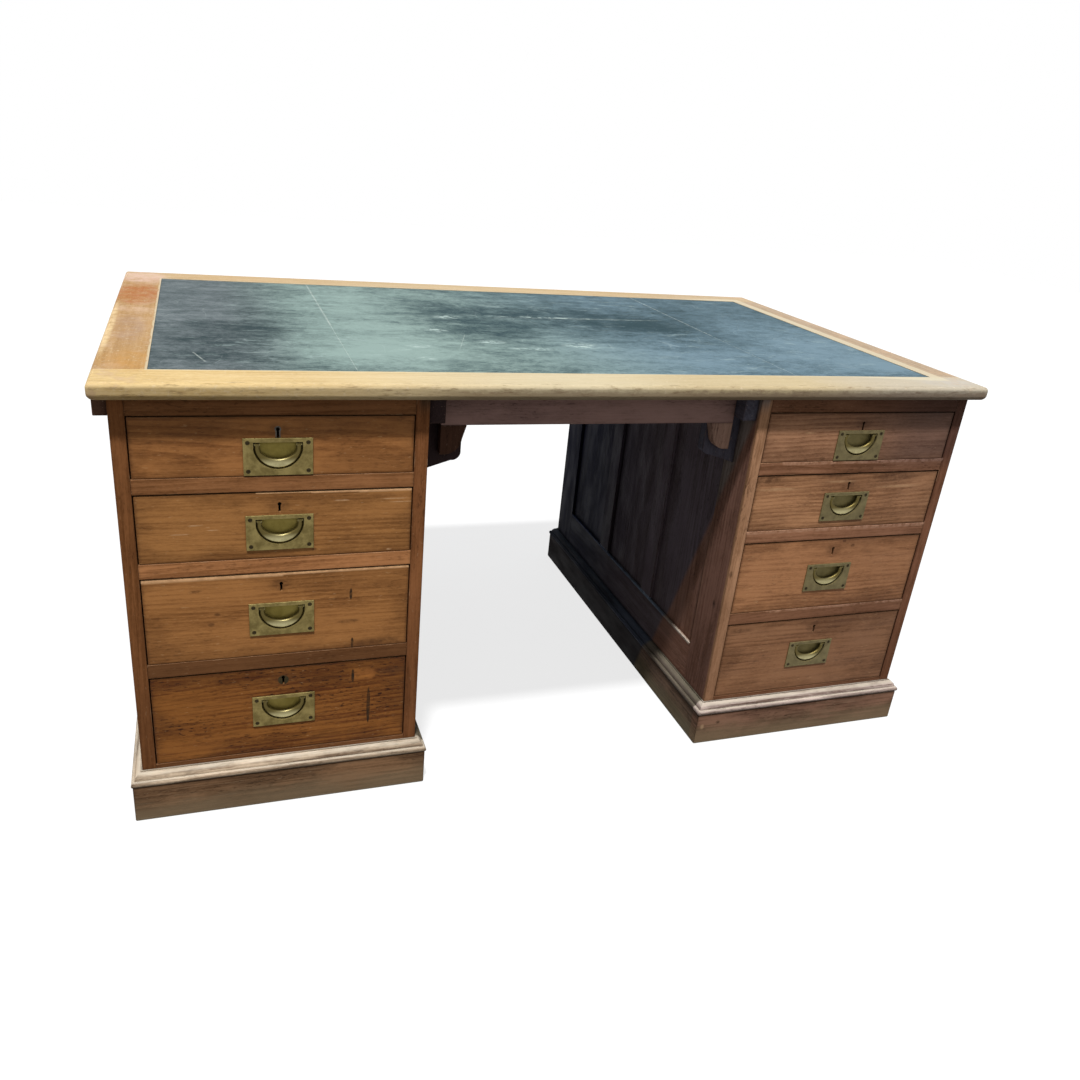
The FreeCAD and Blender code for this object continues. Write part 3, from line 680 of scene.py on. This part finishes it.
def metal(
    name, bright, dull, grime, rough, metallic, cloud_share=0.6, corner_depth=0.007, cool=None, grip_highlight=None,
    dish_reflection=None,
):
    """Old metal with clouds of tarnish, grime in the corners and edges rubbed bright; where asked, a
    painted highlight on the grip, a painted reflection in the dish and painted cool light at the right.
    """
    s = Shader(name)
    place = s.place()
    cloud = s.step(s.noise(place, 60.0, 6.0, 0.65), 0.34, 0.66)
    tarnish = s.product(cloud, cloud_share)
    # Painted highlight: the bright tone stays on the grip low on the bail; the arms above turn dull
    if grip_highlight:
        height = s.split(s.add("TexCoord", {}, "Generated"))[2]
        tarnish = s.strongest(tarnish, s.step(height, *grip_highlight, 0.0, 1.0))
    colour = s.mix(tarnish, bright, dull)
    # Painted reflection: a golden tone deep in the dish
    if dish_reflection:
        start, end = dish_depths
        inside = s.step(s.split(place)[1], rail_face + start, rail_face + end, 0.0, 0.75)
        colour = s.mix(inside, colour, dish_reflection)
    # Painted cool light: greyer metal at the right
    if cool:
        right = s.step(s.split(place)[0], *cool_run, 0.0, 0.6)
        colour = s.mix(right, colour, cool)
    speck = s.step(s.noise(place, 420.0, 3.0, 0.65), 0.60, 0.72)
    colour = s.mix(s.product(speck, 0.35), colour, grime)
    corner = s.add("AmbientOcclusion", {"Distance": corner_depth}, "AO", samples=6)
    dirt = s.step(corner, 0.25, 0.80, 0.85, 0.0)
    colour = s.mix(dirt, colour, grime)
    true_normal = s.add("NewGeometry", {}, "True Normal")
    soft_normal = s.add("Bevel", {"Radius": rub_radius}, samples=4)
    turn = s.dot(true_normal, soft_normal)
    rubbed = s.product(s.step(turn, 0.90, 0.985, 0.8, 0.0), s.step(corner, 0.55, 0.8))
    colour = s.mix(rubbed, colour, bright)
    scratch = s.noise(place, 900.0, 3.0, 0.7)
    shine = s.total(s.step(tarnish, 0.0, 1.0, rough, rough + 0.2), s.product(dirt, 0.25))
    return s.finish(
        Base_Color=colour, Metallic=metallic, Roughness=shine, Specular_IOR_Level=0.15,
        Normal=s.bump(scratch, 0.12, metal_relief),
    )


# Boards taken from the frame


def solids_of(node):
    """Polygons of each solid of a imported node, as lists of corner positions."""
    mesh = frame["nodes"][node].data
    solids = []
    faces = []
    loose = set()
    for polygon in mesh.polygons:
        ring = [tuple(round(c, weld_digits) for c in mesh.vertices[i].co) for i in polygon.vertices]
        for start, end in zip(ring, ring[1:] + ring[:1]):
            if (end, start) in loose:
                loose.remove((end, start))
            elif start != end:
                loose.add((start, end))
        if len(set(ring)) > 2:
            faces.append(ring)
        if not loose:
            solids.append(faces)
            faces = []
    return solids


def on_box_edge(point, low, high):
    """Whether a point lies on an edge of the board's box."""
    gaps = sorted(min(abs(point[i] - low[i]), abs(high[i] - point[i])) for i in range(3))
    return gaps[1] < on_edge


def board_mesh(faces, rounding, all_edges):
    """One solid as a mesh of whole flat faces, with all its sharp edges or only its box's edges rounded."""
    bm = bmesh.new()
    corners = {corner: bm.verts.new(corner) for corner in dict.fromkeys(c for ring in faces for c in ring)}
    for ring in faces:
        bm.faces.new([corners[c] for c in ring])
    bmesh.ops.dissolve_limit(bm, angle_limit=flat_angle, verts=bm.verts, edges=bm.edges)
    low = [min(v.co[i] for v in bm.verts) for i in range(3)]
    high = [max(v.co[i] for v in bm.verts) for i in range(3)]
    if rounding:
        edges = [e for e in bm.edges if len(e.link_faces) == 2 and e.calc_face_angle() > sharp_angle]
        if not all_edges:
            edges = [e for e in edges if all(on_box_edge(v.co, low, high) for v in e.verts)]
        bmesh.ops.bevel(
            bm, geom=edges, offset=rounding, segments=rounding_segments, profile=0.5, affect="EDGES",
            clamp_overlap=True,
        )
    return bm, low, high


def add_piece(name, points, polygons, materials, kinds, node):
    """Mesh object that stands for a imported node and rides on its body."""
    mesh = bpy.data.meshes.new(name)
    mesh.from_pydata(points, [], polygons)
    mesh.polygons.foreach_set("material_index", kinds)
    mesh.shade_smooth()
    mesh.set_sharp_from_angle(angle=sharp_angle)
    for material in materials:
        mesh.materials.append(material)
    piece = bpy.data.objects.new(name, mesh)
    bpy.context.scene.collection.objects.link(piece)
    even = piece.modifiers.new("even_shading", "WEIGHTED_NORMAL")
    even.keep_sharp = True
    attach(piece, frame["nodes"][node]["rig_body"])
    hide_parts(node)
    return piece


def dress(node, material, cast, all_edges=False):
    """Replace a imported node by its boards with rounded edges, each with its own grain and colour cast."""
    rounding = next((size for end, size in edge_rounding.items() if node.endswith(end)), 0.0)
    points, polygons = [], []
    fields = {"local": [], "half": [], "shade": []}
    seeds = []
    for number, faces in enumerate(solids_of(node)):
        bm, low, high = board_mesh(faces, rounding, all_edges)
        middle = [(a + b) / 2 for a, b in zip(low, high)]
        size = [b - a for a, b in zip(low, high)]
        axes = sorted(range(3), key=lambda i: -size[i])
        draw = random.Random(f"{node} {number}")
        seed = draw.random()
        light = draw.uniform(1 - board_variety, 1 + board_variety)
        shade = [c * light for c in cast(Vector(middle))]
        bm.verts.index_update()
        first = len(points)
        for v in bm.verts:
            points.append(v.co[:])
            fields["local"] += [v.co[i] - middle[i] for i in axes]
            fields["half"] += [size[i] / 2 for i in axes]
            fields["shade"] += shade
            seeds.append(seed)
        polygons += [[first + v.index for v in f.verts] for f in bm.faces]
        bm.free()
    piece = add_piece(node + "_boards", points, polygons, [material], [0] * len(polygons), node)
    for name, values in fields.items():
        piece.data.attributes.new(name, "FLOAT_VECTOR", "POINT").data.foreach_set("vector", values)
    piece.data.attributes.new("seed", "FLOAT", "POINT").data.foreach_set("value", seeds)


def dress_fittings(node, metals):
    """Replace a drawer's fittings by the same solids, each in the metal for its width."""
    points, polygons, kinds = [], [], []
    for faces in solids_of(node):
        xs = [corner[0] for ring in faces for corner in ring]
        width = max(xs) - min(xs)
        kind = next(i for i, least in enumerate(fitting_widths) if width > least)
        places = {}
        for ring in faces:
            for corner in ring:
                if corner not in places:
                    places[corner] = len(points)
                    points.append(corner)
            polygons.append([places[corner] for corner in ring])
            kinds.append(kind)
    add_piece(node + "_metal", points, polygons, metals, kinds, node)


def paint(node, material):
    """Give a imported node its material."""
    slots = frame["nodes"][node].data.materials
    slots.clear()
    slots.append(material)


# Leather skins


def stops(low, high):
    """Positions across a skin, close together at its edges."""
    count = round((high - low) / leather_cell)
    inner = [low + (high - low) * i / count for i in range(1, count)]
    near = [low] + [low + s for s in leather_edge_steps]
    far = [high - s for s in reversed(leather_edge_steps)] + [high]
    return near + [v for v in inner if near[-1] < v < far[0]] + far


def leather_skin(number, low, high, material):
    """One skin, its edges turned down and its face slightly rippled."""
    xs = stops(low.x, high.x)
    ys = stops(low.y, high.y)
    bm = bmesh.new()

    def height(x, y):
        edge = min(x - low.x, high.x - x, y - low.y, high.y - y)
        point = Vector((x, y * leather_ripple_stretch, number)) * leather_ripple_scale
        ripple = noise.noise(point) - 1
        return high.z - leather_edge_drop * math.exp(-edge / leather_edge_reach) + leather_ripple * ripple

    upper = [[bm.verts.new((x, y, height(x, y))) for x in xs] for y in ys]
    lower = [[bm.verts.new((x, y, low.z)) for x in xs] for y in ys]
    last_x = len(xs) - 1
    last_y = len(ys) - 1
    for j in range(last_y):
        for i in range(last_x):
            bm.faces.new((upper[j][i], upper[j][i + 1], upper[j + 1][i + 1], upper[j + 1][i]))
            bm.faces.new((lower[j + 1][i], lower[j + 1][i + 1], lower[j][i + 1], lower[j][i]))
    rim = [(0, i) for i in range(last_x)] + [(j, last_x) for j in range(last_y)]
    rim += [(last_y, i) for i in range(last_x, 0, -1)] + [(j, 0) for j in range(last_y, 0, -1)]
    for (j, i), (q, p) in zip(rim, rim[1:] + rim[:1]):
        bm.faces.new((lower[j][i], lower[q][p], upper[q][p], upper[j][i]))
    mesh = bpy.data.meshes.new(f"leather_skin_{number}")
    bm.to_mesh(mesh)
    bm.free()
    mesh.shade_smooth()
    mesh.set_sharp_from_angle(angle=sharp_angle)
    mesh.materials.append(material)
    piece = bpy.data.objects.new(mesh.name, mesh)
    bpy.context.scene.collection.objects.link(piece)
    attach(piece, "root")
    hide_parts("writing_leather")


# Stage


def stage():
    """Camera, key light, surround and pale floor."""
    scene = bpy.context.scene
    scene.view_settings.view_transform = "Standard"
    camera = bpy.data.objects.new("camera", bpy.data.cameras.new("camera"))
    camera.location = camera_place
    camera.rotation_euler = [math.radians(angle) for angle in camera_turn]
    camera.data.lens = camera_lens
    scene.collection.objects.link(camera)
    scene.camera = camera

    sun = bpy.data.lights.new("key", "SUN")
    sun.energy = key_strength
    sun.angle = math.radians(key_spread)
    lamp = bpy.data.objects.new("key", sun)
    lamp.rotation_euler = Vector(key_direction).to_track_quat("Z", "Y").to_euler()
    scene.collection.objects.link(lamp)

    world = bpy.data.worlds.new("surround")
    scene.world = world
    world.use_nodes = True
    w = Nodes(world.node_tree)
    depth = w.split(w.add("TexCoord", {}, "Generated"))[1]
    light = w.mix(w.step(depth, -light_turn, light_turn), front_light, back_light)
    w.feed(w.tree.nodes["Background"].inputs["Color"], w.mix(w.rays_seen(), light, white))

    mesh = bpy.data.meshes.new("floor")
    signs = [(-1, -1), (1, -1), (1, 1), (-1, 1)]
    corners = [(x * floor_half, y * floor_half, -floor_drop) for x, y in signs]
    mesh.from_pydata(corners, [], [(0, 1, 2, 3)])
    s = Shader("pale_floor")
    seen = s.rays_seen()
    mottle = s.noise(s.place(), floor_mottle, 3.0)
    pale = s.mix(s.step(mottle, 0.3, 0.7), tone(122, 122, 122), tone(128, 128, 128))
    mesh.materials.append(s.finish(
        Base_Color=s.mix(seen, tone(90, 88, 85), pale), Roughness=0.9, Specular_IOR_Level=0.1,
        Emission_Color=white, Emission_Strength=s.product(seen, floor_glow),
    ))
    floor = bpy.data.objects.new("floor", mesh)
    scene.collection.objects.link(floor)


stage()

# Marks on the drawer fronts, rails and sides: halos at the keyholes, worn crests with painted highlights
# and panel ledges with dust and painted highlights
mark_depth = 0.01
key_drop = 0.022
halo_half = (0.026, 0.018)
crest_drop = 0.002
ledge_height = 0.178
ledge_half = 0.35
ledge_width = 0.006


def on_face(x, z, half_x, half_z, inner=0.4):
    """Spot on the drawer fronts."""
    return (x, face, z), (half_x, mark_depth, half_z), inner


def width_line(low, high, y, z, start, end, half_width):
    """Stroke between two shares of a box's width."""
    width = high.x - low.x
    return (low.x + width * start, y, z), (low.x + width * end, y, z), half_width


def edge_line(node, start, end, half_width):
    """Stroke along the upper edge of a drawer front."""
    low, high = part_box(node)
    return width_line(low, high, face, high.z, start, end, half_width)


def rail_line(node, start, end, half_width):
    """Stroke along the crest of the rail under a drawer front."""
    low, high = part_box(node)
    return width_line(low, high, rail_face, low.z - crest_drop, start, end, half_width)


halos = []
for side in sides:
    for number in numbers:
        low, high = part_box(f"{side}_drawer_{number}_front")
        halos.append(on_face((low.x + high.x) / 2, high.z - key_drop, *halo_half, 0.2))
gouges = [
    on_face(-0.426, 0.403, 0.0026, 0.012, 0.8),
    on_face(-0.423, 0.308, 0.0026, 0.011, 0.8),
    on_face(-0.421, 0.240, 0.0028, 0.015, 0.8),
    on_face(-0.393, 0.175, 0.0034, 0.041, 0.85),
]
dents = [
    on_face(-0.671, 0.426, 0.012, 0.003),
    on_face(-0.640, 0.382, 0.006, 0.004),
    on_face(-0.650, 0.364, 0.007, 0.005),
    on_face(-0.429, 0.351, 0.024, 0.005),
    on_face(-0.380, 0.306, 0.090, 0.012, 0.1),
    on_face(-0.486, 0.490, 0.006, 0.003),
    on_face(-0.352, 0.244, 0.034, 0.012, 0.1),
    on_face(0.462, 0.624, 0.008, 0.005),
    on_face(0.425, 0.622, 0.006, 0.004),
    on_face(0.585, 0.435, 0.006, 0.005),
    on_face(0.562, 0.446, 0.006, 0.004),
    on_face(0.355, 0.584, 0.050, 0.014, 0.2),
    on_face(0.500, 0.590, 0.060, 0.010, 0.2),
    on_face(0.640, 0.584, 0.070, 0.014, 0.2),
    on_face(0.360, 0.256, 0.036, 0.008, 0.2),
    on_face(0.440, 0.262, 0.036, 0.006, 0.2),
]
bruises = [
    on_face(-0.688, 0.526, 0.018, 0.0016),
    on_face(-0.665, 0.540, 0.014, 0.0016),
    on_face(-0.640, 0.531, 0.012, 0.0014),
    on_face(-0.442, 0.574, 0.016, 0.0022),
    on_face(-0.357, 0.574, 0.030, 0.0016),
    on_face(-0.345, 0.568, 0.026, 0.0014),
    on_face(-0.364, 0.483, 0.006, 0.0020),
    on_face(0.423, 0.676, 0.016, 0.0025, 0.1),
    on_face(0.380, 0.564, 0.070, 0.005, 0.1),
    on_face(0.520, 0.576, 0.050, 0.004, 0.1),
    on_face(0.660, 0.562, 0.070, 0.005, 0.1),
]
# Worn top edges of the fronts with a painted highlight
crest_wear_and_highlights = [
    edge_line("left_drawer_3_front", 0.0, 1.0, 0.0062),
    edge_line("left_drawer_3_front", 0.0, 0.5, 0.0085),
    edge_line("left_drawer_2_front", 0.42, 1.0, 0.0028),
    edge_line("left_drawer_2_front", 0.62, 1.0, 0.0046),
    edge_line("left_drawer_2_front", 0.80, 1.0, 0.0062),
]
let_in_patch = ((-0.414, face, 0.243), (-0.392, face, 0.241), 0.015)
# Rail crests: wear and a painted highlight
rail_crest_wear_and_highlights = [
    rail_line("right_drawer_1_front", 0.12, 1.0, 0.0056),
    rail_line("right_drawer_2_front", 0.0, 1.0, 0.0066),
    rail_line("right_drawer_3_front", 0.2, 1.0, 0.0040),
]
# Panel ledges: dust and a painted highlight
ledge_dust_and_highlights = [
    ((x, -ledge_half, ledge_height), (x, ledge_half, ledge_height), ledge_width)
    for x in (-knee_side, knee_side)
]
knots = [
    ((0.305, -0.418, 0.307), (0.01, 0.009, 0.011), 0.2),
    ((0.310, -0.449, 0.387), (0.006, 0.01, 0.012), 0.2),
]
plinth_knot = ((0.338, -0.468, 0.048), (0.007, 0.01, 0.006), 0.3)
plinth_chip = ((0.302, -0.468, 0.041), (0.006, 0.01, 0.009), 0.3)

# Marks of each wood: tint, least and strongest share, spots and strokes
front_marks = [
    (tone(206, 134, 70), (0.2, 0.35), [], [let_in_patch]),
    (tone(70, 44, 26), (0.2, 0.5), halos, []),
    (tone(74, 46, 28), (0.25, 0.7), dents, []),
    (tone(206, 164, 122), (0.3, 0.7), bruises, []),
    (tone(240, 190, 140), (0.65, 0.95), [], crest_wear_and_highlights),
    (tone(44, 32, 20), (0.6, 1.0), gouges, []),
]
pedestal_marks = [
    (tone(190, 146, 118), (0.05, 0.8), [], rail_crest_wear_and_highlights),
    (tone(214, 206, 192), (0.5, 0.95), [], ledge_dust_and_highlights),
    (tone(52, 34, 24), (0.3, 0.9), knots, []),
]
plinth_marks = [
    (tone(44, 28, 20), (0.3, 0.9), [plinth_knot], []),
    (tone(196, 162, 126), (0.3, 0.7), [plinth_chip], []),
]

# Knee hole's painted shades: tone of the strip near the front, its end, and the tones behind the shade and
# at the rear
no_end = 9.0
shaded_frames = knee_shade(
    near=(0.55, 0.53, 0.69, 1.0), near_end=-0.352,
    deep=(0.48, 0.72, 1.15, 1.0), rear=(0.03, 0.06, 0.18, 1.0),
)
shaded_plinth = knee_shade(
    near=(0.78, 0.92, 0.95, 1.0), near_end=no_end,
    deep=(0.05, 0.06, 0.10, 1.0), rear=(0.03, 0.035, 0.06, 1.0),
)
shaded_moulding = knee_shade(
    near=(0.25, 0.25, 0.22, 1.0), near_end=no_end,
    deep=(0.11, 0.16, 0.26, 1.0), rear=(0.07, 0.10, 0.16, 1.0),
)

# Materials
front_pine = wood(
    "front_pine", tone(186, 127, 70), tone(134, 86, 44), tone(72, 42, 22), tone(204, 164, 118),
    rough=0.46, gloss=0.1, streak_share=0.85, fleck_share=0.36, smear_share=0.15, grime_share=0.5,
    grime_reach=0.006, rim_share=0.25, worn_share=0.1, marks=front_marks, covers=(painted_right_end_shade,),
)
flecked_pine = wood(
    "flecked_pine", tone(190, 128, 68), tone(126, 74, 38), tone(52, 27, 16), tone(204, 164, 118),
    rough=0.46, gloss=0.1, streak_share=1.2, fleck_share=1.0, smear_share=0.45, grime_share=0.5,
    grime_reach=0.006, worn_share=0.1, marks=front_marks,
)
pedestal_pine = wood(
    "pedestal_pine", tone(180, 124, 80), tone(134, 88, 52), tone(72, 44, 27), tone(196, 156, 118),
    rough=0.58, gloss=0.03, grime_share=0.3, grime_reach=0.004, rim_share=0.15, marks=pedestal_marks,
    covers=(darker_towards_floor, shaded_frames, painted_right_end_shade),
)
# Wood under the top, paler and cooler than the pedestals as painted light; its casts add painted shade
knee_pine = wood(
    "knee_pine", tone(176, 140, 122), tone(142, 112, 98), tone(70, 52, 44), tone(190, 164, 144),
    rough=0.66, gloss=0.03, grime_share=0.3, grime_reach=0.004, rim_share=0.15, worn_share=0.2,
)
plinth_pine = wood(
    "plinth_pine", tone(150, 114, 86), tone(98, 72, 52), tone(50, 36, 27), tone(170, 144, 116),
    rough=0.62, gloss=0.03, streak_share=1.3, fleck_share=0.7, marks=plinth_marks,
    covers=(dusty_foot, shaded_plinth),
)
moulding_pine = wood(
    "moulding_pine", tone(186, 164, 138), tone(116, 94, 74), tone(54, 41, 31), tone(204, 194, 176),
    rough=0.62, gloss=0.03, ring_share=0.2, streak_share=1.6, crease_shade_and_grime_share=0.8, worn_share=0.2,
    dust_and_highlight_share=0.65, dust_and_highlight_slope=0.45, covers=(shaded_moulding,),
)
border_pine = wood(
    "border_pine", tone(230, 192, 130), tone(200, 158, 94), tone(136, 98, 58), tone(228, 210, 174),
    rough=0.56, gloss=0.04, ring_share=0.2, streak_share=0.8, cloud_share=0.6, fleck_share=0.25,
    grime_share=0.0, rim_share=0.0, dust_and_highlight_share=0.0, covers=(top_wear_and_cool_light,),
)
lining_pine = wood(
    "lining_pine", tone(196, 160, 118), tone(168, 128, 88), tone(112, 82, 54), tone(206, 176, 138),
    rough=0.72, gloss=0.05, fleck_share=0.35, worn_share=0.3,
)
inner_pine = wood(
    "inner_pine", tone(160, 128, 94), tone(126, 94, 66), tone(84, 62, 44), tone(170, 142, 110),
    rough=0.75, gloss=0.05, worn_share=0.3,
)
slate_leather = leather()
brass_plate = metal(
    "dull_brass", tone(146, 130, 80), tone(102, 88, 48), tone(40, 34, 18), rough=0.44, metallic=0.35,
    cloud_share=0.8, corner_depth=0.004, cool=tone(98, 91, 70), dish_reflection=tone(150, 134, 62),
)
brass_bail = metal(
    "polished_brass", tone(176, 168, 126), tone(92, 81, 45), tone(36, 31, 17), rough=0.24, metallic=0.85,
    cloud_share=0.4, corner_depth=0.003, grip_highlight=(0.10, 0.45),
)
screw_brass = metal(
    "screw_bronze", tone(62, 52, 30), tone(36, 29, 17), tone(18, 14, 9), rough=0.5, metallic=0.3,
)
steel = metal(
    "worn_steel", tone(82, 77, 70), tone(54, 49, 44), tone(24, 21, 18), rough=0.48, metallic=0.6,
)

# Colour casts of the drawer fronts, the right ones bluer in painted cool light, and shades of the rails
# from the top one down
front_casts = {
    "left": {1: (0.86, 0.85, 0.95), 2: (0.89, 0.93, 1.02), 3: (0.96, 0.98, 1.08), 4: (0.57, 0.52, 0.46)},
    # Painted cool light: bluer fronts at the right
    "right": {1: (0.95, 1.13, 2.12), 2: (1.12, 1.30, 2.20), 3: (0.95, 1.03, 1.62), 4: (0.64, 0.72, 1.23)},
}
# Painted shade: darker top rails and a darker rail under the left third drawer
rail_shades = {"left": (0.65, 0.82, 1.26, 0.44, 0.8), "right": (0.62, 0.86, 0.86, 0.80, 0.8)}
# Painted cool light: bluer rails at the right
rail_tints = {"left": (1.0, 1.0, 1.0), "right": (1.0, 1.08, 1.5)}
rail_reach = 0.02


def side_cast(middle):
    """Warm at the left, cooler at the right in painted cool light."""
    return (0.92, 0.92, 0.92) if middle.x < 0 else (0.92, 1.02, 1.30)


def panel_cast(middle):
    """Paler and bluer in the knee hole's right side, in painted cool light."""
    return (0.85, 1.04, 1.95) if 0 < middle.x < knee_wall else side_cast(middle)


def back_cast(middle):
    """Backs less handled than the sides."""
    return (1.20, 1.16, 1.12) if middle.x < 0 else (1.16, 1.16, 1.20)


def rail_cast(middle):
    """Each rail in its own tone, cooler at the right."""
    side = "left" if middle.x < 0 else "right"
    number = sum(middle.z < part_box(f"{side}_drawer_{n}_front")[0].z + rail_reach for n in numbers)
    return [rail_shades[side][number] * tint for tint in rail_tints[side]]


def frame_cast(middle):
    """Front stiles darker than the rest, but for the pale one at the knee hole's right; the right ones
    bluer in painted cool light.
    """
    if middle.y > -front_stile_depth:
        return panel_cast(middle)
    if abs(middle.x) < knee_wall:
        return (0.72, 0.66, 0.64) if middle.x < 0 else (1.25, 1.55, 2.20)
    return (0.58, 0.53, 0.48) if middle.x < 0 else (0.66, 0.66, 0.90)


def knee_light_and_shade_cast(middle):
    """Painted shade and light under the top: a brown end cleat, dark inner cleats and blocks, a dark left
    bracket, dull aprons and a pale right bracket.
    """
    if abs(middle.x) > pedestal_middle:
        return (0.35, 0.30, 0.26)
    if abs(middle.y) < apron_back:
        return (0.12, 0.13, 0.18) if middle.x < 0 else (0.27, 0.45, 0.80)
    if middle.z > bracket_top:
        return (0.94, 0.97, 1.15)
    return (0.23, 0.18, 0.15) if middle.x < 0 else (1.25, 1.28, 1.30)


def plinth_cast(middle):
    """Yellower at the left, pinker at the right."""
    return (0.92, 0.92, 0.86) if middle.x < 0 else (0.98, 0.94, 1.10)


def moulding_cast(middle):
    """Cooler at the right in painted cool light."""
    return (1.27, 1.31, 1.36) if middle.x < 0 else (1.28, 1.35, 1.75)


def border_cast(middle):
    """Golden front board, browner ends and a greyer back."""
    if middle.y < -leather_high.y:
        return (0.91, 1.02, 1.20)
    if middle.y > leather_high.y:
        return (0.68, 0.74, 1.00)
    return (0.58, 0.54, 0.57) if middle.x < 0 else (0.54, 0.57, 0.84)


# Wood and cast of each kind of board, by the end of the node's name
board_looks = {
    "_drawer_runners": (inner_pine, side_cast),
    "_plinth_boards": (plinth_pine, plinth_cast),
    "_plinth_moulding": (moulding_pine, moulding_cast),
    "_box": (lining_pine, side_cast),
    "top_borders": (border_pine, border_cast),
    "top_panel": (inner_pine, side_cast),
    "_side_frames": (pedestal_pine, frame_cast),
    "_side_panels": (pedestal_pine, panel_cast),
    "_back_panelling": (pedestal_pine, back_cast),
    "_drawer_rails": (pedestal_pine, rail_cast),
    "top_cleats": (knee_pine, knee_light_and_shade_cast),
    "knee_hole_aprons": (knee_pine, knee_light_and_shade_cast),
}

for node in sorted(frame["nodes"]):
    for ending, (material, cast) in board_looks.items():
        if node.endswith(ending):
            dress(node, material, cast, all_edges=node == "knee_hole_aprons")
for side in sides:
    for number in numbers:
        drawer = f"{side}_drawer_{number}"
        pine = flecked_pine if drawer == "left_drawer_4" else front_pine
        dress(drawer + "_front", pine, lambda middle: front_casts[side][number])
        escutcheon = screw_brass if number == 4 else steel
        dress_fittings(drawer + "_fittings", [brass_plate, steel, escutcheon, screw_brass])
        paint(drawer + "_bail", brass_bail)
        paint(drawer + "_bolt", steel)
paint("cleat_screws", steel)

seams = sorted({round(v.co.x, weld_digits) for v in frame["nodes"]["writing_leather"].data.vertices})
for number, (start, end) in enumerate(zip(seams, seams[1:])):
    skin_low = Vector((start, leather_low.y, leather_low.z))
    skin_high = Vector((end, leather_high.y, leather_high.z))
    leather_skin(number + 1, skin_low, skin_high, slate_leather)
